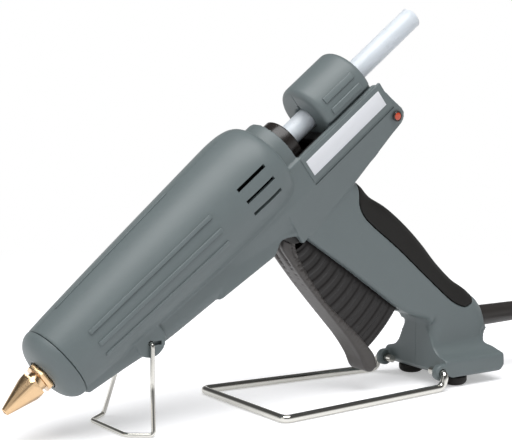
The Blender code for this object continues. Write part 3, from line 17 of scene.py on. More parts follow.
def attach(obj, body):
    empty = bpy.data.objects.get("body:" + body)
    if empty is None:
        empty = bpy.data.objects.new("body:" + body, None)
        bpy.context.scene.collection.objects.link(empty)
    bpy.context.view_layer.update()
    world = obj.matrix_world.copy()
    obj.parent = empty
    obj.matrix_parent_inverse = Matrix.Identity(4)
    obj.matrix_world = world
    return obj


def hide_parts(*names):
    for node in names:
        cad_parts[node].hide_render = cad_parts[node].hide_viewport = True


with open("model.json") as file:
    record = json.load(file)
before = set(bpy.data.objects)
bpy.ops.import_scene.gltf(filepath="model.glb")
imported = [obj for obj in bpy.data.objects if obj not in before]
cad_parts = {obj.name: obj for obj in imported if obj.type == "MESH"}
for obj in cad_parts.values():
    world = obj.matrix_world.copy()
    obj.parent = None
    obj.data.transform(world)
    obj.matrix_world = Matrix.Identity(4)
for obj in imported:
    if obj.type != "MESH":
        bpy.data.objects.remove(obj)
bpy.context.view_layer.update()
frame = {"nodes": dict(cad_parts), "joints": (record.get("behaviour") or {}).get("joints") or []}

bl_info = {
    "name": "Hot Glue Applicator",
    "version": (1, 0, 0),
    "blender": (4, 5, 0),
    "location": "View3D > Sidebar > Glue Gun",
    "description": "Dresses a trigger-fed glue gun with moulded shells, rubber, wires and a cord",
    "category": "Object",
}

JOINT_PLACES = {joint["name"]: joint.get("pos_m") for joint in frame["joints"]}
RADIANS = math.radians

# Fits shared by all pieces
GAP = 0.0003
WALL = 0.0025
OVERRUN = 0.006
MERGE = 0.00001
SEAM = 0.00016

# Facets
FINE_STEPS = 128
ROUND_STEPS = 64
SMALL_STEPS = 32
FLOW_STEPS = 5
MITRE_LEAST_SHARE = 0.3
BEND_REACH_SHARE = 0.45
SHARP_ANGLE = RADIANS(38.0)

# Barrel: its axis, and stations measured along it from the plane of the stand's front bar
AXIS_TILT = RADIANS(36.9)
AXIS_HEIGHT = 0.1185
BARREL_FRONT = -0.1324
NOSE_RADIUS = 0.0205
BELLY_RADIUS = 0.0267
BELLY_STATION = 0.0015
BARREL_SWELL_SHARE = 0.83
SHOULDER_LENGTH = 0.0205
SHOULDER_POWER = 2.8
NECK_RADIUS = 0.0182
NECK_LENGTH = 0.0084

# Ribs, seam bead and vents on the barrel
RIB_START = -0.116
RIB_LENGTH = 0.086
RIB_WIDTH = 0.0022
RIB_ANGLES = (23.5, 3.5, -16.0)
VENT_START = -0.0105
VENT_LENGTH = 0.0203
VENT_WIDTH = 0.0019
VENT_DEPTH = 0.010
VENT_ANGLES = (22.6, 5.2, -12.2)
BEAD_START = -0.1165
BEAD_END = -0.034

# Keel: the flat-sided body under the barrel, as shares of its length and depth
KEEL_HALF_WIDTH = 0.0148
KEEL_LENGTH = 0.1235
KEEL_DEPTH = 0.0383
KEEL_SHARES = ((0.0, 0.53), (0.19, 0.65), (0.38, 0.78), (0.68, 0.885), (1.0, 1.0))
KEEL_TOP = 0.002
KEEL_NOSE = 0.012

# Trigger arch and handle, in side view
ARCH_START = (0.0191, 0.0891)
ARCH_SPAN = 0.0189
ARCH_RISE = 0.0027
ARCH_STEPS = 14
HANDLE_FRONT_DROP = 0.0533
HANDLE_FRONT_SHARES = ((0.316, 0.341), (0.731, 0.812), (0.838, 0.897), (0.922, 0.94), (0.975, 0.97),
                       (1.0, 1.03))

# Rubber grip, in side view
GRIP_TOP = (0.0700, 0.1185)
GRIP_REACH = 0.0803
GRIP_DROP = 0.0700
GRIP_BACK_SHARES = ((0.05, 0.045), (0.122, 0.13), (0.25, 0.214), (0.361, 0.309), (0.477, 0.426),
                    (0.59, 0.557), (0.706, 0.707), (0.851, 0.861), (0.965, 0.945), (1.037, 1.013))
GRIP_FRONT_SHARES = ((1.015, 1.065), (0.938, 1.093), (0.821, 1.033), (0.59, 0.811), (0.34, 0.56),
                     (0.12, 0.36), (0.05, 0.284), (0.008, 0.199), (0.001, 0.1))
GRIP_WALL = 0.003
CORE_HALF_WIDTH = 0.0117
CORE_CAVITY_HALF_WIDTH = 0.0092

# Foot of the handle
BASE_HALF_WIDTH = 0.0277
BASE_FRONT = 0.1215
BASE_BACK = 0.1638
BASE_FLOOR = 0.0055
BASE_FRONT_FLOOR = 0.0091
BASE_TOP = 0.036
BASE_SECTION_SHARES = ((0.0, 1.0), (0.22, 0.96), (0.415, 0.803), (0.523, 0.607), (0.6, 0.49),
                       (0.722, 0.403), (0.866, 0.364), (0.98, 0.33), (1.0, 0.25), (1.0, 0.05),
                       (0.95, 0.0))
BASE_BACK_RUN_SHARES = ((0.95, 0.0), (1.0, 0.105), (0.995, 0.277), (0.887, 0.347), (0.91, 0.44),
                        (0.988, 0.55), (0.922, 0.786), (0.818, 0.928))
BASE_BACK_RISE = 0.043
CAVITY_FLOOR = 0.024
CAVITY_BACK = 0.1598

# Feed arm behind the barrel, in the barrel's own stations and heights
ARM_FRONT = 0.008
ARM_LENGTH = 0.0917
ARM_HALF_WIDTH = 0.020
ARM_TOP = -0.0037
ARM_WAIST = -0.021
ARM_BOTTOM = -0.045
ARM_BACK_SHARES = ((0.905, 0.0), (0.935, 0.05), (0.977, 0.414), (1.0, 0.57), (0.99, 0.66),
                   (0.965, 0.705), (0.93, 0.722), (0.513, 0.87))
TROUGH_HALF_WIDTH = 0.0170
CHANNEL_WALL = 0.0016

# Front cap and nozzle
CAP_LENGTH = 0.0096
CAP_HOLE_RADIUS = 0.0083
CAP_SHARES = ((0.0, 1.0), (0.25, 0.985), (0.5, 0.93), (0.74, 0.82), (0.9, 0.68), (1.0, 0.5))
CAP_WALL = 0.0022
NOZZLE_TIP = -0.169
NOZZLE_TIP_RADIUS = 0.0021
NOZZLE_CONE_LENGTH = 0.0203
NOZZLE_CONE_RADIUS = 0.0079
NOZZLE_CONE_HEX_RADIUS = 0.0078
NOZZLE_NECK_RADIUS = 0.0052
NOZZLE_BORE_RADIUS = 0.0011
NOZZLE_EDGE = 0.00025
FLANGE_LENGTH = 0.0030
FLANGE_RADIUS = 0.0085

# Inlet bush, glue stick and feed carriage
BUSH_RADIUS = 0.013
BUSH_REAR = 0.0388
BUSH_LENGTH = 0.0150
BUSH_CHAMFER = 0.0008
STICK_RADIUS = 0.006
STICK_FRONT = -0.030
STICK_REAR = 0.1446
STICK_EDGE = 0.0005
STICK_FIT = 0.0004
CARRIAGE_FRONT = 0.0562
CARRIAGE_LENGTH = 0.0348
CARRIAGE_RADIUS = 0.0187
CARRIAGE_ROUND = 0.0034
CARRIAGE_FLAT = 0.0163
CARRIAGE_SHOULDER = -0.0024
CARRIAGE_BAR_ANGLES = (27.0, 5.0)
CARRIAGE_BAR_LENGTH = 0.0225
CARRIAGE_BAR_WIDTH = 0.0036
CARRIAGE_BAR_HEIGHT = 0.0008
CARRIAGE_SEAM_ANGLE = 90.0
CARRIAGE_SEAM_WIDTH = 0.0004

# Trigger
PIVOT = (0.030, 0.095)
HUB_RADIUS = 0.0072
FORK_REACH = 0.0117
TRIGGER_HALF_WIDTH = 0.0085
TRIGGER_TOP = (0.0195, 0.0872)
TRIGGER_REACH = 0.0682
TRIGGER_DROP = 0.0756
LEVER_FRONT_SHARES = ((0.088, -0.077), (0.073, 0.016), (0.125, 0.095), (0.279, 0.274), (0.433, 0.439),
                      (0.587, 0.598), (0.733, 0.749), (0.836, 0.882), (0.88, 0.968))
LEVER_END_SHARES = ((0.909, 1.0), (0.953, 1.009), (0.993, 0.981), (1.0, 0.935), (0.975, 0.876))
LEVER_BACK_SHARES = ((0.924, 0.819), (0.801, 0.701), (0.652, 0.578), (0.499, 0.448), (0.396, 0.327),
                     (0.309, 0.213), (0.235, 0.102), (0.198, 0.016), (0.22, -0.077))
LEVER_OVERLAP = 0.0015
WEB_HALF_WIDTH = 0.0072
WEB_RADIUS = 0.0875
WEB_INNER_RADIUS = 0.012
WEB_REST_ANGLE = RADIANS(-33.0)
WEB_RIBS = 12
WEB_RADIUS_STEPS = 180
WEB_TURN_STEPS = 24
SLOT_HALF_WIDTH = 0.0090
SLOT_RADIUS = 0.0895
SLOT_TOP_ANGLE = RADIANS(-13.5)
SLOT_BOTTOM_ANGLE = RADIANS(-62.0)
YOKE_HEIGHT = -0.0086
YOKE_INNER = 0.0128
YOKE_THICKNESS = 0.0024
YOKE_HALF_HEIGHT = 0.0030
YOKE_WINDOW_FIT = 0.0005

# Bare label plates on their panels, and the lamp
LABEL_START = 0.0325
LABEL_LENGTH = 0.0585
LABEL_MIDDLE = -0.0121
LABEL_WIDTH = 0.0093
LABEL_THICKNESS = 0.0007
LABEL_PROUD = 0.0003
LABEL_EDGE = 0.00015
PANEL_START = 0.0305
PANEL_END = 0.0945
PANEL_TOP = -0.0046
PANEL_BOTTOM = -0.0198
PANEL_PROUD = 0.0005
PANEL_EDGE = 0.0003
GROOVE_HEIGHT = -0.0208
GROOVE_WIDTH = 0.0011
GROOVE_DEPTH = 0.0007
LAMP_STATION = 0.0935
LAMP_HEIGHT = -0.0270
LAMP_RADIUS = 0.0021
LAMP_RIM = 0.0007

# Screws that close the housing, as stations and heights
SCREW_HEAD_RADIUS = 0.0029
SCREW_HEAD_LENGTH = 0.0022
SCREW_SHANK_RADIUS = 0.0014
SCREW_RECESS = 0.0012
SCREW_CROSS_WIDTH = 0.0007
SCREW_CROSS_REACH = 0.0018
SCREW_CROSS_DEPTH = 0.0012
BOSS_RADIUS = 0.0036
SCREW_PLACES = {"front": (-0.060, -0.0245), "middle": (-0.015, -0.0300), "arm": (0.076, -0.0285),
                "upper": (0.0375, -0.0530), "lower": (0.0582, -0.1349)}

# Front wire bail
BAIL_WIRE_RADIUS = 0.0012
BAIL_PIVOT = (-0.0615, 0.0456)
BAIL_END = 0.0125
BAIL_LEG = 0.0181
BAIL_KINK_DROP = 0.0216
BAIL_KINK_SPREAD = 0.0008
BAIL_KINK_SHIFT = -0.0008
BAIL_FOOT_SPREAD = 0.0079
BAIL_FOOT_SHIFT = -0.0044
BAIL_TOE_SHIFT = -0.0159
BAIL_TOE_HALF_WIDTH = 0.0177
BAIL_CORNER = 0.0022
BOSS_DISC_RADIUS = 0.0088
BOSS_DISC_FACE = 0.0166
BOSS_DISC_RISE = 0.0014
BOSS_NOTCH_LENGTH = 0.0062
BOSS_NOTCH_WIDTH = 0.0021
BOSS_NOTCH_DEPTH = 0.0022

# Rear wire stand
STAND_WIRE_RADIUS = 0.0022
STAND_PIVOT = (0.1188, 0.0095)
STAND_LUG_RADIUS = 0.0046
STAND_LUG_LENGTH = 0.0045
STAND_END = 0.0175
STAND_LENGTH = 0.1148
STAND_HALF_WIDTH = 0.0400
STAND_HEEL_SHIFT = 0.0025
STAND_CORNER = 0.0045

# Rubber feet
FOOT_RADIUS = 0.007
FOOT_PLACE = (0.134, 0.0195)
FOOT_SHARES = ((1.0, 0.94), (0.9, 1.0), (0.5, 1.0), (0.3, 0.95), (0.14, 0.83), (0.05, 0.7), (0.0, 0.55))

# Strain relief, cord and plug
CORD_RADIUS = 0.00375
CORD_HEIGHT = 0.0325
RELIEF_SEAT = 0.1545
RELIEF_END = 0.2050
RELIEF_RADIUS = 0.0062
RELIEF_TIP_RADIUS = 0.0054
CORD_ROUTE = ((0.2053, 0.0, 0.0325), (0.2150, 0.0010, 0.0324), (0.2268, 0.0072, 0.0295),
              (0.2375, 0.0178, 0.0235), (0.2480, 0.0300, 0.0160), (0.2600, 0.0415, 0.0095),
              (0.2740, 0.0495, 0.0055), (0.2862, 0.0532, 0.0040), (0.2950, 0.0540, 0.00375))
CORD_POINT_STEP = 0.0045
CORD_STIFF_SHARE = 0.5
CURVE_SAMPLES = 20
COIL_OUTER = 0.0540
COIL_PITCH = 0.0083
COIL_LAYER_RISE = 0.0081
COIL_TURNS_PER_LAYER = 3
COIL_POINTS = 24
PLUG_LENGTH = 0.034
PLUG_WIDTH = 0.030
PLUG_COLLAR_LENGTH = 0.012
PLUG_COLLAR_RADIUS = 0.0062
PLUG_FILLET = 0.004
PLUG_PIN_RADIUS = 0.0024
PLUG_PIN_LENGTH = 0.019
PLUG_PIN_SPACING = 0.019
PLUG_RIB_SHARES = (0.3, 0.45, 0.6, 0.75)

# Values that follow from the sizes above
AXIS_WAY = Vector((math.cos(AXIS_TILT), 0.0, math.sin(AXIS_TILT)))
AXIS_UP = Vector((-math.sin(AXIS_TILT), 0.0, math.cos(AXIS_TILT)))
AXIS_ORIGIN = Vector((0.0, 0.0, AXIS_HEIGHT))
SHIFT = Vector((JOINT_PLACES["trigger_pull"][0] - PIVOT[0], 0.0, 0.0))
NECK_FRONT = BELLY_STATION + SHOULDER_LENGTH
NECK_REAR = NECK_FRONT + NECK_LENGTH
CAP_FRONT = BARREL_FRONT - GAP - CAP_LENGTH
FLANGE_REAR = CAP_FRONT - GAP
BASE_RISE = BASE_TOP - BASE_FLOOR
BASE_DEPTH = BASE_BACK - BASE_FRONT
CARRIAGE_REAR = CARRIAGE_FRONT + CARRIAGE_LENGTH
TROUGH_FLOOR = -(CARRIAGE_RADIUS + 2 * GAP + CHANNEL_WALL)
ARM_REAR = ARM_FRONT + ARM_LENGTH
BORE_RADIUS = STICK_RADIUS + STICK_FIT
PLUG_HEIGHT = 2 * (CORD_RADIUS + COIL_LAYER_RISE)
SCREW_DEPTH = KEEL_HALF_WIDTH / 2
GRIP_END = (GRIP_TOP[0] + GRIP_BACK_SHARES[-1][0] * GRIP_REACH,
            GRIP_TOP[1] - GRIP_BACK_SHARES[-1][1] * GRIP_DROP)


# Details that only show close up
CHEEK_KEEL_POINTS = 6
CHEEK_DEPTH = 0.010
CHEEK_ROUND = 0.0020
FAIRING_START = -0.042
FAIRING_END = 0.0105
FAIRING_LOWS = (-0.0255, -0.0345)
FAIRING_STEPS = 10
SKIRT_END = 0.0300
SKIRT_RADIUS = 0.0196
# Near-black sheets behind the vents that paint the shade inside the slots
VENT_SHADE_SHEET_WIDTH = 0.0036
VENT_SHADE_SHEET_THICKNESS = 0.0006
BEAD_WIDTH = 0.0016
JAW_LENGTH = 0.012
JAW_WIDTH = 0.007
JAW_HEIGHT = 0.0052
BAR_REACH = CARRIAGE_BAR_LENGTH / 2
COLLAR_NOTCH_SHARE = 0.44
COLLAR_NOTCH_SIZE = 0.0011
COLLAR_NOTCH_ANGLE = 90.0
LEVER_SKIN = 0.00045
LEVER_PLACES = 40
LEVER_FLUTE_SIDE = 0.0036
LEVER_FLUTE_WIDTH = 0.0011
LEVER_FLUTE_FADE = 0.35
LEVER_FLUTE_END_SHARE = 0.45
LEVER_FLUTE_BLEND_SHARE = 0.2
LEVER_CHEEK_SHARE = 0.62
LEVER_CHEEK_WIDTH_SHARE = 0.10
LEVER_CHEEK_DEPTH_SHARE = 0.6
WEB_RIB_SHARE = 0.28
RELIEF_GROOVED = (0.15, 0.75)
TIE_THICKNESS = 0.0011
TIE_ANGLE = -math.pi / 4
PLUG_SKIN = 0.0006
PLUG_GROOVE_RADIUS = 0.0009

# Studio, in metres and degrees; the camera looks at a point of the drawing frame
CAMERA_AZIMUTH = -33.7
CAMERA_ELEVATION = 8.1
CAMERA_TARGET = (0.0128, 0.0, 0.1005)
CAMERA_DISTANCE = 0.9496
CAMERA_LENS = 126.56
SOFTBOXES = (
    ("key_softbox", (-0.18, -0.34, 1.50), (1.5, 1.1), 25.0),
    ("side_softbox", (-1.2, -0.2, 0.5), (0.9, 1.2), 2.0),
)
ROOM_FILL = 0.34
ROOM_CEILING = 0.10
FLOOR_SIZE = 4.0
FLOOR_LIFT = 0.36
FLOOR_FADE = (0.22, 0.55)
FLOOR_COLOUR = (0.90, 0.90, 0.92, 1.0)
FLOOR_ROUGHNESS = 0.9
FLOOR_SPECULAR = 0.1

# Sizes and colours that a user may change

class GlueGunShellSettings(PropertyGroup):
    """Moulding of the plastic and rubber pieces."""
    skin: FloatProperty(name="Skin Step", description="Spacing of the moulded surface's points",
                        default=0.00075, min=0.0003, max=0.002, unit="LENGTH", precision=5)
    edge_round: FloatProperty(name="Keel Rounding",
                              description="Radius along the keel's and handle's edges", default=0.0068,
                              min=0.003, max=0.009, unit="LENGTH", precision=4)
    softening: IntProperty(name="Softening", description="Smoothing passes over the moulded corners",
                           default=4, min=0, max=12)
    rib_height: FloatProperty(name="Rib Height", description="How far the flank ribs stand out",
                              default=0.0009, min=0.0003, max=0.0015, unit="LENGTH", precision=4)
    bead_height: FloatProperty(name="Bead Height", description="Rise of the lip along the barrel's back",
                               default=0.0007, min=0.0002, max=0.0015, unit="LENGTH", precision=4)


class GlueGunTriggerSettings(PropertyGroup):
    """Shape of the lever and its web."""
    lever_round: FloatProperty(name="Lever Rounding", description="Radius along the lever's edges",
                               default=0.0018, min=0.001, max=0.004, unit="LENGTH", precision=4)
    groove: FloatProperty(name="Lever Flute", description="Depth of the long flutes down the lever",
                          default=0.0010, min=0.0004, max=0.002, unit="LENGTH", precision=4)
    web_step: FloatProperty(name="Web Step", description="Depth of the web's rib steps",
                            default=0.0004, min=0.0002, max=0.0012, unit="LENGTH", precision=4)


class GlueGunCordSettings(PropertyGroup):
    """Mains cord and its tie."""
    tie_width: FloatProperty(name="Tie Width", description="Width of the strap round the coil",
                             default=0.012, min=0.006, max=0.03, unit="LENGTH")
    relief_rings: IntProperty(name="Relief Rings", description="Grooves in the strain relief",
                              default=0, min=0, max=8)


class GlueGunColours(PropertyGroup):
    """Finishes of the gun."""
    shell: FloatVectorProperty(name="Shell", description="Moulded grey of the housing", subtype="COLOR",
                               size=3, min=0.0, max=1.0, default=(0.132, 0.160, 0.164))
    rubber: FloatVectorProperty(name="Rubber", description="Grip and feet", subtype="COLOR",
                                size=3, min=0.0, max=1.0, default=(0.0135, 0.0125, 0.0115))
    lever: FloatVectorProperty(name="Lever", description="Trigger lever's warm dark grey",
                               subtype="COLOR", size=3, min=0.0, max=1.0, default=(0.062, 0.056, 0.053))
    brass: FloatVectorProperty(name="Brass", description="Nozzle", subtype="COLOR",
                               size=3, min=0.0, max=1.0, default=(0.66, 0.46, 0.27))
    wire: FloatVectorProperty(name="Wire", description="Bail and stand", subtype="COLOR",
                              size=3, min=0.0, max=1.0, default=(0.62, 0.61, 0.57))
    glue: FloatVectorProperty(name="Glue", description="Milky glue stick", subtype="COLOR",
                              size=3, min=0.0, max=1.0, default=(0.66, 0.705, 0.75))
    lamp: FloatVectorProperty(name="Lamp", description="Red lens", subtype="COLOR",
                              size=3, min=0.0, max=1.0, default=(0.52, 0.06, 0.02))


# Placing

def on_axis(station, height, side=0.0):
    """Point at a station along the barrel axis, a height above it and a distance to the side."""
    return AXIS_ORIGIN + station * AXIS_WAY + height * AXIS_UP + Vector((0.0, side, 0.0))


def side_points(pairs):
    """Side-view points (x, z) of pairs given as station and height on the barrel axis."""
    return [(on_axis(station, height).x, on_axis(station, height).z) for station, height in pairs]


def span(start, reach, drop, shares):
    """Points that lie shares of a reach towards +X and of a drop towards the floor from a start."""
    return [(start[0] + along * reach, start[1] - down * drop) for along, down in shares]


def arc(centre, radius, start, end, steps):
    return [(centre[0] + radius * math.cos(start + (end - start) * step / steps),
             centre[1] + radius * math.sin(start + (end - start) * step / steps))
            for step in range(steps + 1)]


def flow(points, steps=FLOW_STEPS):
    """Smooth run of points through chosen ones, its ends kept."""
    run = []
    for i in range(len(points) - 1):
        before = Vector(points[max(i - 1, 0)])
        start = Vector(points[i])
        end = Vector(points[i + 1])
        after = Vector(points[min(i + 2, len(points) - 1)])
        leave = (end - before) * CORD_STIFF_SHARE
        arrive = (after - start) * CORD_STIFF_SHARE
        limit = (end - start).length
        leave *= min(1.0, limit / max(leave.length, MERGE))
        arrive *= min(1.0, limit / max(arrive.length, MERGE))
        for k in range(steps):
            t = k / steps
            point = ((2 * t**3 - 3 * t**2 + 1) * start + (t**3 - 2 * t**2 + t) * leave
                     + (-2 * t**3 + 3 * t**2) * end + (t**3 - t**2) * arrive)
            run.append(tuple(point))
    run.append(tuple(points[-1]))
    return run


def inset(outline, depth):
    """Outline with each side moved inwards by a depth, or outwards by a negative one."""
    count = len(outline)
    area = sum(outline[i - 1][0] * outline[i][1] - outline[i][0] * outline[i - 1][1]
               for i in range(count))
    turn = 1.0 if area > 0 else -1.0
    moved = []
    for i in range(count):
        before = (Vector(outline[i]) - Vector(outline[i - 1])).normalized()
        after = (Vector(outline[(i + 1) % count]) - Vector(outline[i])).normalized()
        normal = turn * (Vector((-before.y, before.x)) + Vector((-after.y, after.x))) / 2
        stretch = max(normal.length_squared, MITRE_LEAST_SHARE)
        moved.append(tuple(Vector(outline[i]) + normal * depth / stretch))
    return moved


SIDE_VIEW = Matrix(((1, 0, 0, 0), (0, 0, -1, 0), (0, 1, 0, 0), (0, 0, 0, 1)))
FRONT_VIEW = Matrix(((0, 0, 1, 0), (1, 0, 0, 0), (0, 1, 0, 0), (0, 0, 0, 1)))
# Turned pieces have local +Z along the barrel towards the stick's free end
BARREL_AXIS = Matrix.Translation(AXIS_ORIGIN) @ Matrix.Rotation(math.pi / 2 - AXIS_TILT, 4, "Y")
# Cross-sections of the arm: local X is +Y, local Y is up from the axis, local Z runs along the barrel
ARM_SECTION = Matrix((
    (0, AXIS_UP.x, AXIS_WAY.x, AXIS_ORIGIN.x), (1, 0, 0, 0),
    (0, AXIS_UP.z, AXIS_WAY.z, AXIS_ORIGIN.z), (0, 0, 0, 1)))


# Making

def new_form(name, mesh, matrix):
    """Working object in the drawing frame, which has no material yet."""
    form = bpy.data.objects.new(name, mesh)
    bpy.context.scene.collection.objects.link(form)
    form.hide_render = True
    form.matrix_world = matrix
    return form


def turned(name, profile, matrix=BARREL_AXIS, steps=ROUND_STEPS, ring=False):
    """Turned solid about local Z from (station, radius) points, which run down its outer side."""
    mesh = bpy.data.meshes.new(name)
    edges = [(i, i + 1) for i in range(len(profile) - 1)]
    if ring:
        edges.append((len(profile) - 1, 0))
    mesh.from_pydata([(radius, 0.0, station) for station, radius in profile], edges, [])
    form = new_form(name, mesh, matrix)
    screw = form.modifiers.new("Turn", "SCREW")
    screw.steps = steps
    screw.render_steps = steps
    screw.use_merge_vertices = True
    screw.merge_threshold = MERGE
    screw.use_smooth_shade = True
    return form


def rod(name, start, end, radius, steps=SMALL_STEPS, bore=0.0):
    """Cylinder between two points, bored through when a bore radius is given."""
    way = Vector(end) - Vector(start)
    matrix = Matrix.Translation(start) @ way.to_track_quat("Z", "X").to_matrix().to_4x4()
    length = way.length
    if bore:
        return turned(name, [(length, bore), (length, radius), (0.0, radius), (0.0, bore)], matrix,
                      steps, ring=True)
    return turned(name, [(length, 0.0), (length, radius), (0.0, radius), (0.0, 0.0)], matrix, steps)


def shape_of(form):
    """Mesh of an object as its modifiers make it."""
    depsgraph = bpy.context.evaluated_depsgraph_get()
    return bpy.data.meshes.new_from_object(form.evaluated_get(depsgraph))


def welded(mesh):
    shape = bmesh.new()
    shape.from_mesh(mesh)
    bmesh.ops.remove_doubles(shape, verts=shape.verts, dist=MERGE)
    bmesh.ops.recalc_face_normals(shape, faces=shape.faces)
    shape.to_mesh(mesh)
    shape.free()
    return mesh


def plate(name, outline, low, high, matrix=SIDE_VIEW, fillet=0.0, fillet_steps=4):
    """Flat outline made thick from low to high along its normal, its rims rounded by a fillet."""
    curve = bpy.data.curves.new(name, "CURVE")
    curve.dimensions = "2D"
    curve.fill_mode = "BOTH"
    curve.extrude = (high - low) / 2
    line = curve.splines.new("POLY")
    line.points.add(len(outline) - 1)
    for point, (across, up) in zip(line.points, outline):
        point.co = (across, up, 0.0, 1.0)
    line.use_cyclic_u = True
    flat = bpy.data.objects.new(name, curve)
    bpy.context.scene.collection.objects.link(flat)
    mesh = welded(shape_of(flat))
    bpy.data.objects.remove(flat, do_unlink=True)
    mesh.transform(Matrix.Translation((0.0, 0.0, (low + high) / 2)))
    if fillet:
        round_rims(mesh, fillet, fillet_steps)
    return new_form(name, mesh, matrix)


def round_rims(mesh, fillet, steps):
    """Round the edges between a plate's two flat faces and its sides."""
    shape = bmesh.new()
    shape.from_mesh(mesh)
    shape.normal_update()
    bmesh.ops.dissolve_limit(shape, angle_limit=RADIANS(0.5), verts=shape.verts, edges=shape.edges)
    rims = [edge for edge in shape.edges if len(edge.link_faces) == 2
            and {abs(face.normal.z) > 0.5 for face in edge.link_faces} == {True, False}]
    bmesh.ops.bevel(shape, geom=rims, offset=fillet, segments=steps, profile=0.5, affect="EDGES",
                    clamp_overlap=False)
    bmesh.ops.recalc_face_normals(shape, faces=shape.faces)
    shape.to_mesh(mesh)
    shape.free()


def box(name, lows, highs, matrix=None):
    """Box between two corners, for a cut."""
    mesh = bpy.data.meshes.new(name)
    shape = bmesh.new()
    bmesh.ops.create_cube(shape, size=1.0)
    size = Vector(highs) - Vector(lows)
    middle = (Vector(highs) + Vector(lows)) / 2
    bmesh.ops.transform(shape, matrix=Matrix.Translation(middle) @ Matrix.Diagonal((*size, 1.0)),
                        verts=shape.verts)
    shape.to_mesh(mesh)
    shape.free()
    return new_form(name, mesh, matrix or Matrix.Identity(4))


def axis_box(name, stations, heights, sides):
    """Box between stations, heights and side distances measured from the barrel axis."""
    return box(name, (sides[0], heights[0], stations[0]), (sides[1], heights[1], stations[1]),
               ARM_SECTION)


def both_sides(low, high):
    """The span from low to high on the near side, and its mirror image on the far side."""
    return {"near": (-high, -low), "far": (low, high)}


def joined(form, tools, operation):
    for tool in tools:
        step = form.modifiers.new(tool.name, "BOOLEAN")
        step.operation = operation
        step.solver = "EXACT"
        step.object = tool
    return form


def settle(form):
    """Replace an object's mesh by its shape after modifiers, and delete the tools that made it."""
    mesh = shape_of(form)
    tools = [step.object for step in form.modifiers if step.type == "BOOLEAN"]
    form.modifiers.clear()
    form.data = mesh
    for tool in set(tools):
        bpy.data.objects.remove(tool, do_unlink=True)
    return form


def add(form, *tools):
    return settle(joined(form, tools, "UNION"))


def cut(form, *tools):
    return settle(joined(form, tools, "DIFFERENCE"))


def keep(form, tool):
    return settle(joined(form, [tool], "INTERSECT"))


def moulded(form, step, passes):
    """Re-skin a form with even faces and soften its corners, as a moulded piece has them."""
    skin = form.modifiers.new("Skin", "REMESH")
    skin.mode = "VOXEL"
    skin.voxel_size = step
    skin.use_smooth_shade = True
    soft = form.modifiers.new("Soften", "SMOOTH")
    soft.factor = 0.5
    soft.iterations = passes
    return settle(form)


def bevelled(form, width, segments=2, angle=RADIANS(30.0)):
    edge = form.modifiers.new("Edge", "BEVEL")
    edge.width = width
    edge.segments = segments
    edge.limit_method = "ANGLE"
    edge.angle_limit = angle
    return settle(form)


def half_of(mesh, side):
    """The part of a closed mesh on one side of the middle plane, its cut face filled."""
    half = mesh.copy()
    shape = bmesh.new()
    shape.from_mesh(half)
    geometry = shape.verts[:] + shape.edges[:] + shape.faces[:]
    made = bmesh.ops.bisect_plane(shape, geom=geometry, plane_co=(0.0, side * SEAM / 2, 0.0),
                                  plane_no=(0.0, side, 0.0), clear_inner=True)
    rim = [item for item in made["geom_cut"] if isinstance(item, bmesh.types.BMEdge)]
    bmesh.ops.triangle_fill(shape, edges=rim, use_beauty=True)
    bmesh.ops.recalc_face_normals(shape, faces=shape.faces)
    shape.to_mesh(half)
    shape.free()
    return half


def finished(form, name, material, body, slot, *nodes, sharp=SHARP_ANGLE):
    """Turn a working object into a shown piece: named, coloured, in place and riding on its body."""
    if form.modifiers:
        settle(form)
    form.data.transform(Matrix.Translation(SHIFT) @ form.matrix_world)
    form.matrix_world = Matrix.Identity(4)
    form.name = name
    form.data.name = name
    form.data.shade_smooth()
    form.data.set_sharp_from_angle(angle=sharp)
    form.data.materials.clear()
    form.data.materials.append(material)
    form.hide_render = False
    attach(form, body)
    if nodes:
        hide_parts(*nodes)
    return form


def smooth_path(points, step):
    """Points at an even step along a smooth curve through given ones."""
    dense = []
    for i in range(len(points) - 1):
        before = Vector(points[max(i - 1, 0)])
        start = Vector(points[i])
        end = Vector(points[i + 1])
        after = Vector(points[min(i + 2, len(points) - 1)])
        for k in range(CURVE_SAMPLES):
            t = k / CURVE_SAMPLES
            leave = (end - before) * CORD_STIFF_SHARE
            arrive = (after - start) * CORD_STIFF_SHARE
            dense.append((2 * t**3 - 3 * t**2 + 1) * start + (t**3 - 2 * t**2 + t) * leave
                         + (-2 * t**3 + 3 * t**2) * end + (t**3 - t**2) * arrive)
    dense.append(Vector(points[-1]))
    lengths = [0.0]
    for a, b in zip(dense, dense[1:]):
        lengths.append(lengths[-1] + (b - a).length)
    count = max(2, round(lengths[-1] / step))
    path = []
    place = 0
    for k in range(count + 1):
        target = lengths[-1] * k / count
        while place < len(lengths) - 2 and lengths[place + 1] < target:
            place += 1
        part = (target - lengths[place]) / (lengths[place + 1] - lengths[place])
        path.append(dense[place].lerp(dense[place + 1], part))
    return path


def rounded_path(points, radius, steps=8):
    """Path through corner points, each inner corner turned by a short arc of points."""
    path = [Vector(points[0])]
    for before, corner, after in zip(points, points[1:], points[2:]):
        corner = Vector(corner)
        back = Vector(before) - corner
        on = Vector(after) - corner
        reach = min(radius, back.length * BEND_REACH_SHARE, on.length * BEND_REACH_SHARE)
        start = corner + back.normalized() * reach
        end = corner + on.normalized() * reach
        for k in range(steps + 1):
            t = k / steps
            path.append((1 - t)**2 * start + 2 * t * (1 - t) * corner + t**2 * end)
    path.append(Vector(points[-1]))
    return path


def wire_curve(name, path, radius, resolution):
    """Round wire as a curve object along a path of points."""
    curve = bpy.data.curves.new(name, "CURVE")
    curve.dimensions = "3D"
    curve.bevel_depth = radius
    curve.bevel_resolution = resolution
    curve.use_fill_caps = True
    line = curve.splines.new("POLY")
    line.points.add(len(path) - 1)
    for point, place in zip(line.points, path):
        point.co = (*place, 1.0)
    line.use_smooth = True
    wire = bpy.data.objects.new(name, curve)
    bpy.context.scene.collection.objects.link(wire)
    return wire


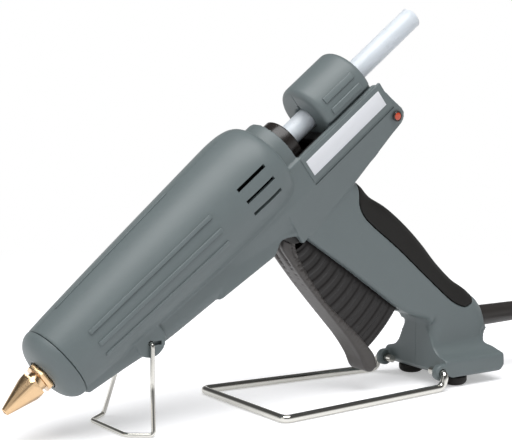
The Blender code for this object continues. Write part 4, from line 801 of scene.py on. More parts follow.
def tube(name, path, radius, resolution=4):
    """Closed mesh of a round wire along a path of points."""
    wire = wire_curve(name, path, radius, resolution)
    mesh = welded(shape_of(wire))
    bpy.data.objects.remove(wire, do_unlink=True)
    return new_form(name, mesh, Matrix.Identity(4))


# Outlines in side view

def keel_run(steps=FLOW_STEPS):
    start = BARREL_FRONT + GAP
    corners = [(start + along * KEEL_LENGTH, -depth * KEEL_DEPTH) for along, depth in KEEL_SHARES]
    return flow(side_points(corners), steps)


def keel_nose():
    """Corners that carry the keel's rounded edge on past the barrel's front, where it is cut off."""
    first, depth = KEEL_SHARES[0]
    slope = (KEEL_SHARES[1][1] - depth) * KEEL_DEPTH / ((KEEL_SHARES[1][0] - first) * KEEL_LENGTH)
    front = BARREL_FRONT + GAP - KEEL_NOSE
    return side_points([(front, KEEL_TOP), (front, -depth * KEEL_DEPTH + slope * KEEL_NOSE)])


def arch_run():
    middle = (ARCH_START[0] + ARCH_SPAN / 2, ARCH_START[1])
    return [(middle[0] - math.cos(turn) * ARCH_SPAN / 2, middle[1] + math.sin(turn) * ARCH_RISE)
            for turn in (math.pi * k / ARCH_STEPS for k in range(ARCH_STEPS + 1))]


def handle_front_run(steps=FLOW_STEPS):
    start = (ARCH_START[0] + ARCH_SPAN, ARCH_START[1])
    return flow(span(start, BASE_FRONT - start[0], HANDLE_FRONT_DROP, HANDLE_FRONT_SHARES), steps)


def base_back_run(steps=FLOW_STEPS):
    corners = [(BASE_FRONT + along * BASE_DEPTH, BASE_FLOOR + up * BASE_BACK_RISE)
               for along, up in BASE_BACK_RUN_SHARES]
    return flow(corners, steps)


def grip_back_run(steps=FLOW_STEPS):
    return flow(span(GRIP_TOP, GRIP_REACH, GRIP_DROP, GRIP_BACK_SHARES), steps)


def grip_front_run(steps=FLOW_STEPS):
    return flow(span(GRIP_TOP, GRIP_REACH, GRIP_DROP, GRIP_FRONT_SHARES), steps)


def body_top_run():
    """Hidden upper edge of the keel and handle, inside the arm and the barrel."""
    arm_end = ARM_FRONT + ARM_LENGTH * ARM_BACK_SHARES[-1][0]
    return side_points([(arm_end, TROUGH_FLOOR), (NECK_FRONT, TROUGH_FLOOR), (ARM_FRONT, KEEL_TOP)])


def handle_outline():
    """Side view of keel, handle and foot, with the rubber grip's back as its own back."""
    foot = [(BASE_FRONT, BASE_FRONT_FLOOR), (BASE_FRONT + BASE_FLOOR, BASE_FLOOR)]
    back = list(reversed(grip_back_run()))
    front = keel_nose() + keel_run() + arch_run()[1:] + handle_front_run()
    return front + foot + base_back_run() + back + [GRIP_TOP] + body_top_run()


def grip_runs(depth, steps=FLOW_STEPS):
    """The grip's back and front runs, its outline moved inwards by a depth."""
    back = grip_back_run(steps)
    moved = inset([GRIP_TOP] + back + grip_front_run(steps), depth)
    split = 1 + len(back)
    return moved[1:split], moved[split:]


def grip_zone(clearance):
    """What the rubber takes away from the handle, open past the handle's back."""
    return [GRIP_TOP] + grip_runs(-OVERRUN, 1)[0] + [GRIP_END] + grip_runs(clearance)[1]


def core_outline(clearance=0.0):
    """The handle's core under the rubber, rooted in the handle's body."""
    return grip_runs(GRIP_WALL - clearance, 1)[0][1:-1] + grip_runs(-WALL, 1)[1][1:-1]


def core_cavity_outline():
    return grip_runs(GRIP_WALL + WALL, 1)[0][2:-3] + grip_runs(-2 * WALL, 1)[1][2:-3]


def cavity_outline():
    """Side view of the hollow inside: the outline moved in by the wall, with a plain foot."""
    front = handle_front_run(1)[:-2]
    foot = [(BASE_FRONT, BASE_TOP), (BASE_FRONT, CAVITY_FLOOR), (CAVITY_BACK, CAVITY_FLOOR),
            (CAVITY_BACK, base_back_run(1)[-2][1])]
    top = body_top_run() + side_points([(BARREL_FRONT + GAP, KEEL_TOP)])
    return inset(keel_run(1) + arch_run() + front + foot + grip_front_run(1) + [GRIP_TOP] + top, WALL)


def barrel_radius(station):
    """Outer radius of the barrel at a station: a swelling cone, then a rounded shoulder and the neck."""
    if station <= BELLY_STATION:
        share = (station - BARREL_FRONT) / (BELLY_STATION - BARREL_FRONT)
        return NOSE_RADIUS + (BELLY_RADIUS - NOSE_RADIUS) * max(share, 0.0)**BARREL_SWELL_SHARE
    share = min((station - BELLY_STATION) / SHOULDER_LENGTH, 1.0)
    return NECK_RADIUS + (BELLY_RADIUS - NECK_RADIUS) * (1 - share**SHOULDER_POWER)**(1 / SHOULDER_POWER)


def barrel_stations():
    length = BELLY_STATION - BARREL_FRONT
    cone = [BARREL_FRONT + length * k / 14 for k in range(15)]
    shoulder = [BELLY_STATION + SHOULDER_LENGTH * math.sin(math.pi / 2 * k / 14) for k in range(1, 15)]
    return cone + shoulder


def arm_outline(steps=FLOW_STEPS):
    """Arm in stations and heights: its top edge, its back round to the handle, and its hidden front."""
    height = ARM_BOTTOM - ARM_TOP
    back = [(ARM_FRONT + along * ARM_LENGTH, ARM_TOP + down * height) for along, down in ARM_BACK_SHARES]
    return [(ARM_FRONT - OVERRUN, ARM_TOP)] + flow(back, steps) + [(ARM_FRONT - OVERRUN, ARM_BOTTOM)]


def arm_cavity_outline():
    """Hollow below the trough's floor, as stations and heights."""
    top = TROUGH_FLOOR - WALL
    back = inset(arm_outline(1), WALL)[3:-1]
    below = [point for point in back if point[1] < top]
    return [(NECK_REAR, top), (back[0][0], top)] + below + [(NECK_REAR, back[-1][1])]


def flank_matrix(angle, side):
    """Frame with local +X out of one flank, at an angle in degrees above the horizontal."""
    turn = math.radians(90.0 + angle) * (1 if side == "far" else -1)
    return BARREL_AXIS @ Matrix.Rotation(turn, 4, "Z")


def lever_span(shares):
    return span(TRIGGER_TOP, TRIGGER_REACH, TRIGGER_DROP, shares)


def lever_outline():
    around = LEVER_FRONT_SHARES + LEVER_END_SHARES + LEVER_BACK_SHARES
    return flow(lever_span(around))


def gathered(name, forms):
    """One object that holds several separate forms."""
    shape = bmesh.new()
    for form in forms:
        mesh = shape_of(form)
        mesh.transform(form.matrix_world)
        shape.from_mesh(mesh)
        bpy.data.objects.remove(form, do_unlink=True)
    mesh = bpy.data.meshes.new(name)
    shape.to_mesh(mesh)
    shape.free()
    return new_form(name, mesh, Matrix.Identity(4))



# Finishes

def new_group(name, inputs, outputs):
    """Empty shader node group with named inputs and outputs."""
    tree = bpy.data.node_groups.new(name, "ShaderNodeTree")
    for label, kind, default in inputs:
        socket = tree.interface.new_socket(name=label, in_out="INPUT", socket_type=kind)
        socket.default_value = default
    for label, kind in outputs:
        tree.interface.new_socket(name=label, in_out="OUTPUT", socket_type=kind)
    return tree, tree.nodes.new("NodeGroupInput").outputs, tree.nodes.new("NodeGroupOutput").inputs


def put(tree, kind, settings=None, **sockets):
    """Node of a kind with its settings, each named socket linked or set."""
    node = tree.nodes.new(kind)
    for key, value in (settings or {}).items():
        setattr(node, key, value)
    for key, value in sockets.items():
        name = key.replace("_", " ")
        socket = next(item for item in node.inputs if item.name == name and item.enabled)
        if isinstance(value, bpy.types.NodeSocket):
            tree.links.new(value, socket)
        else:
            socket.default_value = value
    return node


def noise(tree, place, scale, detail=2.0, roughness=0.5):
    return put(tree, "ShaderNodeTexNoise", Vector=place, Scale=scale, Detail=detail,
               Roughness=roughness).outputs["Fac"]


def math_node(tree, operation, first, second=0.0, clamp=False):
    node = tree.nodes.new("ShaderNodeMath")
    node.operation = operation
    node.use_clamp = clamp
    for socket, value in zip(node.inputs, (first, second)):
        if isinstance(value, bpy.types.NodeSocket):
            tree.links.new(value, socket)
        else:
            socket.default_value = value
    return node.outputs[0]


def remap(tree, value, low, high, out_low=0.0, out_high=1.0):
    node = put(tree, "ShaderNodeMapRange", {"interpolation_type": "SMOOTHSTEP"}, Value=value,
               From_Min=low, From_Max=high, To_Min=out_low, To_Max=out_high)
    return node.outputs[0]


def mix_colour(tree, share, first, second, blend="MIX"):
    node = tree.nodes.new("ShaderNodeMix")
    node.data_type = "RGBA"
    node.blend_type = blend
    colour_sockets = [item for item in node.inputs if item.type == "RGBA"]
    for socket, value in zip([node.inputs[0]] + colour_sockets, (share, first, second)):
        if isinstance(value, bpy.types.NodeSocket):
            tree.links.new(value, socket)
        elif socket.type == "RGBA":
            socket.default_value = (*value[:3], 1.0)
        else:
            socket.default_value = value
    return next(item for item in node.outputs if item.type == "RGBA")


def make_grain_group():
    """Stipple of a moulded or cast surface, as a height."""
    tree, given, result = new_group("Moulded Grain", [("Scale", "NodeSocketFloat", 2500.0)],
                                    [("Height", "NodeSocketFloat")])
    place = put(tree, "ShaderNodeTexCoord").outputs["Object"]
    fine = noise(tree, place, given["Scale"], 2.0, 0.6)
    coarse = noise(tree, place, math_node(tree, "MULTIPLY", given["Scale"], 0.23), 1.0)
    cells = put(tree, "ShaderNodeTexVoronoi", {"feature": "SMOOTH_F1"}, Vector=place,
                Scale=math_node(tree, "MULTIPLY", given["Scale"], 0.6)).outputs["Distance"]
    height = math_node(tree, "ADD", math_node(tree, "MULTIPLY", fine, 0.6),
                       math_node(tree, "MULTIPLY", cells, 0.5))
    tree.links.new(math_node(tree, "ADD", height, math_node(tree, "MULTIPLY", coarse, 0.3)),
                   result["Height"])
    return tree


def make_tone_group():
    """Uneven tone and gloss left by moulding and by hands."""
    tree, given, result = new_group("Tone and Handling", [
        ("Colour", "NodeSocketColor", (0.5, 0.5, 0.5, 1.0)), ("Tone", "NodeSocketFloat", 0.08),
        ("Roughness", "NodeSocketFloat", 0.45), ("Spread", "NodeSocketFloat", 0.08),
        ("Scale", "NodeSocketFloat", 45.0)],
        [("Colour", "NodeSocketColor"), ("Roughness", "NodeSocketFloat")])
    place = put(tree, "ShaderNodeTexCoord").outputs["Object"]
    broad = noise(tree, place, given["Scale"], 4.0, 0.6)
    smears = noise(tree, place, math_node(tree, "MULTIPLY", given["Scale"], 4.7), 5.0, 0.65)
    share = math_node(tree, "SUBTRACT", math_node(tree, "ADD", broad, smears), 1.0)
    lift = math_node(tree, "ADD", math_node(tree, "MULTIPLY", share, given["Tone"]), 1.0)
    shade = put(tree, "ShaderNodeCombineXYZ", X=lift, Y=lift, Z=lift).outputs[0]
    tree.links.new(mix_colour(tree, 1.0, given["Colour"], shade, "MULTIPLY"), result["Colour"])
    gloss = math_node(tree, "ADD", math_node(tree, "MULTIPLY", share, given["Spread"]),
                      given["Roughness"])
    tree.links.new(gloss, result["Roughness"])
    return tree


def make_wear_group():
    """Mask of edges rubbed by use, broken up by a patchy noise."""
    tree, given, result = new_group("Edge Wear", [
        ("Colour", "NodeSocketColor", (0.5, 0.5, 0.5, 1.0)),
        ("Worn", "NodeSocketColor", (0.6, 0.6, 0.6, 1.0)), ("Amount", "NodeSocketFloat", 0.4)],
        [("Colour", "NodeSocketColor"), ("Mask", "NodeSocketFloat")])
    edges = remap(tree, put(tree, "ShaderNodeNewGeometry").outputs["Pointiness"], 0.51, 0.60)
    place = put(tree, "ShaderNodeTexCoord").outputs["Object"]
    patches = remap(tree, noise(tree, place, 160.0, 4.0, 0.6), 0.35, 0.65)
    mask = math_node(tree, "MULTIPLY", math_node(tree, "MULTIPLY", edges, patches), given["Amount"])
    tree.links.new(mix_colour(tree, mask, given["Colour"], given["Worn"]), result["Colour"])
    tree.links.new(mask, result["Mask"])
    return tree


def make_turning_group():
    """Fine rings of a piece turned or drawn along a direction, as a height."""
    tree, given, result = new_group("Tool Marks", [
        ("Direction", "NodeSocketVector", (0.0, 0.0, 1.0)), ("Scale", "NodeSocketFloat", 3000.0)],
        [("Height", "NodeSocketFloat")])
    place = put(tree, "ShaderNodeTexCoord").outputs["Object"]
    dot = tree.nodes.new("ShaderNodeVectorMath")
    dot.operation = "DOT_PRODUCT"
    tree.links.new(place, dot.inputs[0])
    tree.links.new(given["Direction"], dot.inputs[1])
    rings = put(tree, "ShaderNodeTexNoise", {"noise_dimensions": "1D"}, W=dot.outputs["Value"],
                Scale=given["Scale"], Detail=3.0).outputs["Fac"]
    tree.links.new(rings, result["Height"])
    return tree


def make_speck_group():
    """Mask of dust specks and small scuffs."""
    tree, given, result = new_group("Dust and Scuffs", [("Scale", "NodeSocketFloat", 900.0),
                                                         ("Cover", "NodeSocketFloat", 0.3)],
                                    [("Mask", "NodeSocketFloat")])
    place = put(tree, "ShaderNodeTexCoord").outputs["Object"]
    specks = remap(tree, noise(tree, place, given["Scale"], 3.0, 0.7), 0.60, 0.72)
    areas = remap(tree, noise(tree, place, 60.0, 2.0), 0.4, 0.7)
    mask = math_node(tree, "MULTIPLY", math_node(tree, "MULTIPLY", specks, areas), given["Cover"])
    tree.links.new(mask, result["Mask"])
    return tree


def place_group(material, group, **sockets):
    node = material.node_tree.nodes.new("ShaderNodeGroup")
    node.node_tree = group
    for key, value in sockets.items():
        name = key.replace("_", " ")
        if isinstance(value, bpy.types.NodeSocket):
            material.node_tree.links.new(value, node.inputs[name])
        else:
            node.inputs[name].default_value = value
    return node.outputs


def new_finish(name):
    material = bpy.data.materials.new(name)
    material.use_nodes = True
    return material, material.node_tree, material.node_tree.nodes["Principled BSDF"]


def link_bump(tree, shader, height, strength, distance):
    """Relief on a shader's normal from a height that varies over the surface."""
    bump = put(tree, "ShaderNodeBump", Strength=strength, Distance=distance, Height=height)
    tree.links.new(bump.outputs["Normal"], shader.inputs["Normal"])
    return bump


def brighter(colour, factor):
    return tuple(min(1.0, part * factor) for part in colour[:3])


def moulded_finish(name, colour, roughness, grain=2500.0, relief=0.10, tone=0.10, spread=0.12, worn=1.5,
                   wear=0.45, dust=0.0, dust_colour=(0.25, 0.24, 0.22), specular=0.5, coat=0.0):
    """Plastic or rubber: grain, uneven gloss, rubbed edges and, where asked, dust in its skin."""
    material, tree, shader = new_finish(name)
    toned = place_group(material, GROUPS["tone"], Colour=(*colour[:3], 1.0), Tone=tone,
                        Roughness=roughness, Spread=spread)
    rubbed = place_group(material, GROUPS["wear"], Colour=toned["Colour"],
                         Worn=(*brighter(colour, worn), 1.0), Amount=wear)
    surface = rubbed["Colour"]
    if dust:
        specks = place_group(material, GROUPS["specks"], Cover=dust)
        surface = mix_colour(tree, specks["Mask"], surface, dust_colour)
    tree.links.new(surface, shader.inputs["Base Color"])
    tree.links.new(toned["Roughness"], shader.inputs["Roughness"])
    skin = place_group(material, GROUPS["grain"], Scale=grain)
    link_bump(tree, shader, skin["Height"], relief, 0.0002)
    shader.inputs["Specular IOR Level"].default_value = specular
    shader.inputs["Coat Weight"].default_value = coat
    return material


def metal_finish(name, colour, roughness, marks=3000.0, relief=0.05, direction=(0.0, 0.0, 1.0), tone=0.12,
                 spread=0.12, stain=(0.5, 0.5, 0.5), staining=0.15):
    """Bare or plated metal: tool marks, uneven gloss and a patchy stain."""
    material, tree, shader = new_finish(name)
    toned = place_group(material, GROUPS["tone"], Colour=(*colour[:3], 1.0), Tone=tone,
                        Roughness=roughness, Spread=spread, Scale=120.0)
    rubbed = place_group(material, GROUPS["wear"], Colour=toned["Colour"],
                         Worn=(*brighter(colour, 1.25), 1.0), Amount=0.5)
    specks = place_group(material, GROUPS["specks"], Scale=500.0, Cover=staining)
    tree.links.new(mix_colour(tree, specks["Mask"], rubbed["Colour"], stain), shader.inputs["Base Color"])
    tree.links.new(toned["Roughness"], shader.inputs["Roughness"])
    rings = place_group(material, GROUPS["marks"], Direction=direction, Scale=marks)
    link_bump(tree, shader, rings["Height"], relief, 0.0001)
    shader.inputs["Metallic"].default_value = 1.0
    return material


def glue_finish(colour):
    """Milky thermoplastic stick: soft inside, with faint flow streaks."""
    material, tree, shader = new_finish("milky_glue")
    toned = place_group(material, GROUPS["tone"], Colour=(*colour[:3], 1.0), Tone=0.05, Roughness=0.30,
                        Spread=0.15, Scale=90.0)
    tree.links.new(toned["Colour"], shader.inputs["Base Color"])
    tree.links.new(toned["Roughness"], shader.inputs["Roughness"])
    place = put(tree, "ShaderNodeTexCoord").outputs["Object"]
    stretched = put(tree, "ShaderNodeMapping", {"vector_type": "TEXTURE"}, Vector=place,
                    Rotation=(0.0, -AXIS_TILT, 0.0), Scale=(8.0, 1.0, 1.0)).outputs[0]
    link_bump(tree, shader, noise(tree, stretched, 700.0, 2.0), 0.12, 0.0004)
    shader.inputs["Subsurface Weight"].default_value = 0.6
    shader.inputs["Subsurface Radius"].default_value = (1.0, 1.0, 1.0)
    shader.inputs["Subsurface Scale"].default_value = 0.003
    return material


def lamp_finish(colour):
    """Clear red lens over a dark lamp."""
    material, tree, shader = new_finish("red_lens")
    toned = place_group(material, GROUPS["tone"], Colour=(*colour[:3], 1.0), Tone=0.2, Roughness=0.10,
                        Spread=0.05, Scale=600.0)
    tree.links.new(toned["Colour"], shader.inputs["Base Color"])
    tree.links.new(toned["Roughness"], shader.inputs["Roughness"])
    skin = place_group(material, GROUPS["grain"], Scale=1800.0)
    link_bump(tree, shader, skin["Height"], 0.05, 0.0002)
    shader.inputs["Coat Weight"].default_value = 0.6
    shader.inputs["Coat Roughness"].default_value = 0.05
    # Faint painted glow: the lens gives off its own red although the lamp behind it is dark
    shader.inputs["Emission Strength"].default_value = 0.04
    tree.links.new(toned["Colour"], shader.inputs["Emission Color"])
    return material


def strap_finish():
    """Woven tie: crossed ribs of black yarn."""
    material, tree, shader = new_finish("woven_tie")
    place = put(tree, "ShaderNodeTexCoord").outputs["Object"]
    along = put(tree, "ShaderNodeTexWave", {"bands_direction": "X"}, Vector=place, Scale=320.0,
                Distortion=0.4, Detail=1.0).outputs["Fac"]
    across = put(tree, "ShaderNodeTexWave", {"bands_direction": "Z"}, Vector=place, Scale=260.0,
                 Distortion=0.4, Detail=1.0).outputs["Fac"]
    weave = math_node(tree, "MULTIPLY", along, across)
    toned = place_group(material, GROUPS["tone"], Colour=(0.022, 0.021, 0.021, 1.0), Tone=0.2,
                        Roughness=0.8, Spread=0.1)
    tree.links.new(mix_colour(tree, weave, toned["Colour"], (0.05, 0.05, 0.05)),
                   shader.inputs["Base Color"])
    tree.links.new(toned["Roughness"], shader.inputs["Roughness"])
    link_bump(tree, shader, weave, 0.5, 0.0003)
    return material


def board_finish():
    """Lamp board: green lacquer with pale tinned tracks."""
    material, tree, shader = new_finish("lamp_board_lacquer")
    place = put(tree, "ShaderNodeTexCoord").outputs["Object"]
    tracks = put(tree, "ShaderNodeTexBrick", {"offset": 0.5}, Vector=place, Scale=420.0, Mortar_Size=0.03)
    tracks.inputs["Color1"].default_value = (0.02, 0.13, 0.05, 1.0)
    tracks.inputs["Color2"].default_value = (0.03, 0.16, 0.07, 1.0)
    tracks.inputs["Mortar"].default_value = (0.35, 0.36, 0.33, 1.0)
    toned = place_group(material, GROUPS["tone"], Colour=tracks.outputs["Color"], Tone=0.1, Roughness=0.4,
                        Spread=0.1)
    tree.links.new(toned["Colour"], shader.inputs["Base Color"])
    tree.links.new(toned["Roughness"], shader.inputs["Roughness"])
    link_bump(tree, shader, tracks.outputs["Fac"], 0.2, 0.0001)
    return material


GROUPS = {}
FINISH = {}


def make_finishes(colours):
    """All node groups and materials, from the user's colours."""
    GROUPS.update(grain=make_grain_group(), tone=make_tone_group(), wear=make_wear_group(),
                  marks=make_turning_group(), specks=make_speck_group())
    axis = tuple(AXIS_WAY)
    FINISH.update(
        shell=moulded_finish("grey_shell", colours.shell, 0.44, relief=0.12, tone=0.07, spread=0.10,
                             worn=1.45, wear=0.35, dust=0.12, dust_colour=(0.32, 0.34, 0.34)),
        rubber=moulded_finish("grip_rubber", colours.rubber, 0.60, grain=1500.0, relief=0.22, tone=0.15,
                              worn=1.8, wear=0.3, dust=0.12, dust_colour=(0.04, 0.04, 0.037),
                              specular=0.22),
        lever=moulded_finish("lever_plastic", colours.lever, 0.40, grain=2000.0, relief=0.12, tone=0.12,
                             worn=1.7, wear=0.4, dust=0.15),
        web=moulded_finish("web_plastic", (0.012, 0.0102, 0.0098), 0.36, grain=2600.0, relief=0.08,
                           tone=0.15, worn=2.0, wear=0.5, specular=0.35),
        bush=moulded_finish("bush_plastic", (0.016, 0.013, 0.0115), 0.26, grain=3000.0, relief=0.05,
                            tone=0.15, worn=2.0, wear=0.5, dust=0.2),
        # Near-black sheets behind the vents: painted shade for the dark inside of the vent slots
        shield=moulded_finish("vent_shield", (0.0022, 0.0022, 0.0022), 0.85, wear=0.1, specular=0.1),
        channel=moulded_finish("channel_plastic", (0.013, 0.0125, 0.012), 0.45, relief=0.1, dust=0.3),
        plug=moulded_finish("plug_plastic", (0.016, 0.015, 0.0145), 0.42, grain=1600.0, relief=0.15,
                            worn=2.0),
        cord=moulded_finish("cord_sheath", (0.026, 0.0225, 0.0205), 0.42, grain=1800.0, relief=0.10,
                            tone=0.10, worn=1.3, wear=0.2, dust=0.15, dust_colour=(0.10, 0.095, 0.09)),
        label=moulded_finish("bare_label", (0.76, 0.775, 0.81), 0.34, grain=4000.0, relief=0.03,
                             tone=0.03, spread=0.1, worn=1.05, wear=0.2),
        ceramic=moulded_finish("ceramic_body", (0.72, 0.70, 0.65), 0.6, grain=1400.0, relief=0.2,
                               tone=0.08, worn=1.1, wear=0.3),
        brass=metal_finish("turned_brass", colours.brass, 0.24, direction=axis, relief=0.10, tone=0.15,
                           stain=(0.42, 0.27, 0.15), staining=0.25),
        wire=metal_finish("bright_wire", colours.wire, 0.13, marks=1500.0, relief=0.03, tone=0.06,
                          spread=0.08, stain=(0.30, 0.28, 0.25), staining=0.15),
        zinc=metal_finish("zinc_plate", (0.55, 0.55, 0.53), 0.32, marks=2500.0, direction=axis,
                          staining=0.3, stain=(0.35, 0.33, 0.30)),
        aluminium=metal_finish("machined_aluminium", (0.74, 0.74, 0.75), 0.30, marks=2200.0, relief=0.12,
                               direction=axis, staining=0.3, stain=(0.45, 0.42, 0.38)),
        glue=glue_finish(colours.glue), lens=lamp_finish(colours.lamp), strap=strap_finish(),
        board=board_finish())


# Housing

def screw_wall(name):
    """Distance from the middle plane to the outer face that a screw's head sits in."""
    return ARM_HALF_WIDTH if name == "arm" else KEEL_HALF_WIDTH


def across(name, place, low, high, radius, steps=SMALL_STEPS):
    """Rod across the gun at a side-view point, from one side distance to another."""
    return rod(name, (place[0], low, place[1]), (place[0], high, place[1]), radius, steps)


def arm_form():
    """Feed arm: its cross-section run along the barrel's line and trimmed to its side view."""
    waist = [(ARM_HALF_WIDTH, ARM_TOP), (ARM_HALF_WIDTH, ARM_WAIST), (KEEL_HALF_WIDTH, ARM_BOTTOM)]
    section = waist + [(-side, up) for side, up in reversed(waist)]
    arm = plate("arm_form", section, ARM_FRONT, ARM_REAR, ARM_SECTION)
    return keep(arm, plate("arm_side", side_points(arm_outline()), -BASE_HALF_WIDTH, BASE_HALF_WIDTH))


def base_form():
    """Flared foot: its front view run backwards and trimmed to its side view, with the stand's lugs."""
    half = flow([(side * BASE_HALF_WIDTH, BASE_FLOOR + up * BASE_RISE)
                 for side, up in BASE_SECTION_SHARES], 3)
    section = half + [(-side, up) for side, up in reversed(half[1:])]
    base = plate("base_form", section, BASE_FRONT, BASE_BACK + OVERRUN, FRONT_VIEW)
    top = BASE_TOP + OVERRUN
    side = [(BASE_FRONT, top), (BASE_FRONT, BASE_FRONT_FLOOR), (BASE_FRONT + BASE_FLOOR, BASE_FLOOR)]
    side += [point for point in base_back_run() if point[1] < BASE_TOP] + [(CAVITY_BACK, top)]
    keep(base, plate("base_side", side, -BASE_HALF_WIDTH - OVERRUN, BASE_HALF_WIDTH + OVERRUN))
    lugs = [across(f"stand_lug_{name}", STAND_PIVOT, low, high, STAND_LUG_RADIUS)
            for name, (low, high) in both_sides(BASE_HALF_WIDTH - STAND_LUG_LENGTH,
                                                BASE_HALF_WIDTH).items()]
    return add(base, *lugs)


def shell_rooms():
    """Spaces that the bush, the feed trough and the swinging trigger take out of every form."""
    return [
        rod("bush_hole", on_axis(NECK_FRONT - WALL - OVERRUN, 0.0), on_axis(NECK_REAR + OVERRUN, 0.0),
            BUSH_RADIUS + GAP, ROUND_STEPS),
        axis_box("trough", (NECK_REAR, ARM_REAR + OVERRUN), (TROUGH_FLOOR, NECK_RADIUS + OVERRUN),
                 (-TROUGH_HALF_WIDTH, TROUGH_HALF_WIDTH)),
        plate("trigger_room", trigger_room(), -SLOT_HALF_WIDTH, SLOT_HALF_WIDTH)]


def body_form(shell):
    """Keel, handle and foot as one rounded plate, cut off flush at the barrel's front."""
    body = plate("body_form", handle_outline(), -KEEL_HALF_WIDTH, KEEL_HALF_WIDTH,
                 fillet=shell.edge_round, fillet_steps=8)
    wide = 2 * BELLY_RADIUS
    return cut(body, axis_box("nose_trim", (BARREL_FRONT - 2 * KEEL_NOSE, BARREL_FRONT + GAP),
                              (-wide, wide), (-wide, wide)))


def cheek_form():
    """The same body where it frames the trigger, with only a small radius on its edges."""
    edge = keel_run()[-CHEEK_KEEL_POINTS:] + arch_run()[1:] + handle_front_run()
    inner = [(px + CHEEK_DEPTH, pz + CHEEK_DEPTH) for px, pz in reversed(edge[CHEEK_KEEL_POINTS:])]
    inner.append((edge[0][0], edge[0][1] + 1.5 * CHEEK_DEPTH))
    return plate("cheek_form", edge + inner, -KEEL_HALF_WIDTH, KEEL_HALF_WIDTH,
                 fillet=CHEEK_ROUND, fillet_steps=5)


def eased(share):
    share = min(max(share, 0.0), 1.0)
    return share * share * (3 - 2 * share)


def flank_fairing():
    """Loft on both flanks that eases the keel's side out to the wider side of the arm."""
    shape = bmesh.new()
    rings = []
    for k in range(FAIRING_STEPS + 1):
        share = k / FAIRING_STEPS
        station = FAIRING_START + (FAIRING_END - FAIRING_START) * share
        wide = KEEL_HALF_WIDTH - GAP + (ARM_HALF_WIDTH - KEEL_HALF_WIDTH) * eased(share)
        low = FAIRING_LOWS[0] + (FAIRING_LOWS[1] - FAIRING_LOWS[0]) * share
        section = [(wide, ARM_TOP - 4 * GAP), (wide, ARM_WAIST), (KEEL_HALF_WIDTH - GAP, low)]
        section += [(-side, up) for side, up in reversed(section)]
        rings.append([shape.verts.new((side, up, station)) for side, up in section])
    for a, b in zip(rings, rings[1:]):
        for i in range(len(a)):
            shape.faces.new((a[i - 1], a[i], b[i], b[i - 1]))
    shape.faces.new(rings[0])
    shape.faces.new(list(reversed(rings[-1])))
    bmesh.ops.recalc_face_normals(shape, faces=shape.faces)
    mesh = bpy.data.meshes.new("flank_fairing")
    shape.to_mesh(mesh)
    shape.free()
    return new_form("flank_fairing", mesh, ARM_SECTION)


def shoulder_fairing():
    """Turned skirt that eases the barrel's shoulder down to the arm's sides, below the arm's top edge."""
    steps = 12
    skirt = [(BELLY_STATION + (SKIRT_END - BELLY_STATION) * k / steps,
              BELLY_RADIUS - GAP + (SKIRT_RADIUS - BELLY_RADIUS) * eased(k / steps))
             for k in range(steps + 1)]
    form = turned("shoulder_fairing", [(SKIRT_END, 0.0)] + list(reversed(skirt)) + [(BELLY_STATION, 0.0)],
                  steps=FINE_STEPS)
    return cut(form, axis_box("skirt_top", (BELLY_STATION - OVERRUN, SKIRT_END + OVERRUN),
                              (ARM_TOP - GAP, 2 * BELLY_RADIUS), (-2 * BELLY_RADIUS, 2 * BELLY_RADIUS)))


def shell_form(shell):
    """Outer forms of barrel, keel, handle, foot, arm and bail bosses, less the rooms of moving pieces."""
    outer = [(station, barrel_radius(station)) for station in reversed(barrel_stations())]
    barrel = turned("barrel_form", [(NECK_REAR, 0.0), (NECK_REAR, NECK_RADIUS)] + outer
                    + [(BARREL_FRONT, 0.0)], steps=FINE_STEPS)
    body = cut(body_form(shell), plate("grip_room", grip_zone(0.0), -BASE_HALF_WIDTH, BASE_HALF_WIDTH))
    core = plate("core_form", core_outline(), -CORE_HALF_WIDTH, CORE_HALF_WIDTH)
    boss_place = (BAIL_PIVOT[0], BAIL_PIVOT[1] + BOSS_DISC_RISE)
    forms = [across(f"bail_boss_{name}", boss_place, low, high, BOSS_DISC_RADIUS)
             for name, (low, high) in both_sides(WALL, BOSS_DISC_FACE).items()]
    for form in (barrel, body, cheek_form(), core, arm_form(), flank_fairing(), shoulder_fairing(),
                 base_form()):
        forms.append(cut(form, *shell_rooms()))
    return gathered("shell_form", forms)


def trigger_room():
    """Side view of the space that the trigger swings through."""
    sweep = arc(PIVOT, SLOT_RADIUS, SLOT_BOTTOM_ANGLE, SLOT_TOP_ANGLE, 24)
    hub = arc(PIVOT, HUB_RADIUS + WALL, SLOT_TOP_ANGLE + math.pi / 2, math.pi + SLOT_BOTTOM_ANGLE / 2, 16)
    return sweep + hub + [(ARCH_START[0], ARCH_START[1])]


def inner_rooms():
    """Hollows of the barrel, the body, the arm and the handle's core, less the screw columns."""
    front = BARREL_FRONT + WALL
    rear = NECK_FRONT - WALL
    inner = [(station, barrel_radius(station) - WALL) for station in reversed(barrel_stations())
             if front < station < rear]
    profile = [(rear, 0.0), (rear, NECK_RADIUS - WALL)] + inner
    profile += [(front, NOSE_RADIUS - WALL), (front, 0.0)]
    half = KEEL_HALF_WIDTH - WALL
    rooms = turned("barrel_cavity", profile, steps=ROUND_STEPS)
    add(rooms, plate("body_cavity", cavity_outline(), -half, half),
        plate("arm_cavity", side_points(arm_cavity_outline()), -half, half),
        plate("core_cavity", core_cavity_outline(), -CORE_CAVITY_HALF_WIDTH, CORE_CAVITY_HALF_WIDTH))
    columns = [rod(f"screw_column_{name}", on_axis(station, height, -KEEL_HALF_WIDTH),
                   on_axis(station, height, KEEL_HALF_WIDTH), BOSS_RADIUS)
               for name, (station, height) in SCREW_PLACES.items()]
    return cut(rooms, *columns)


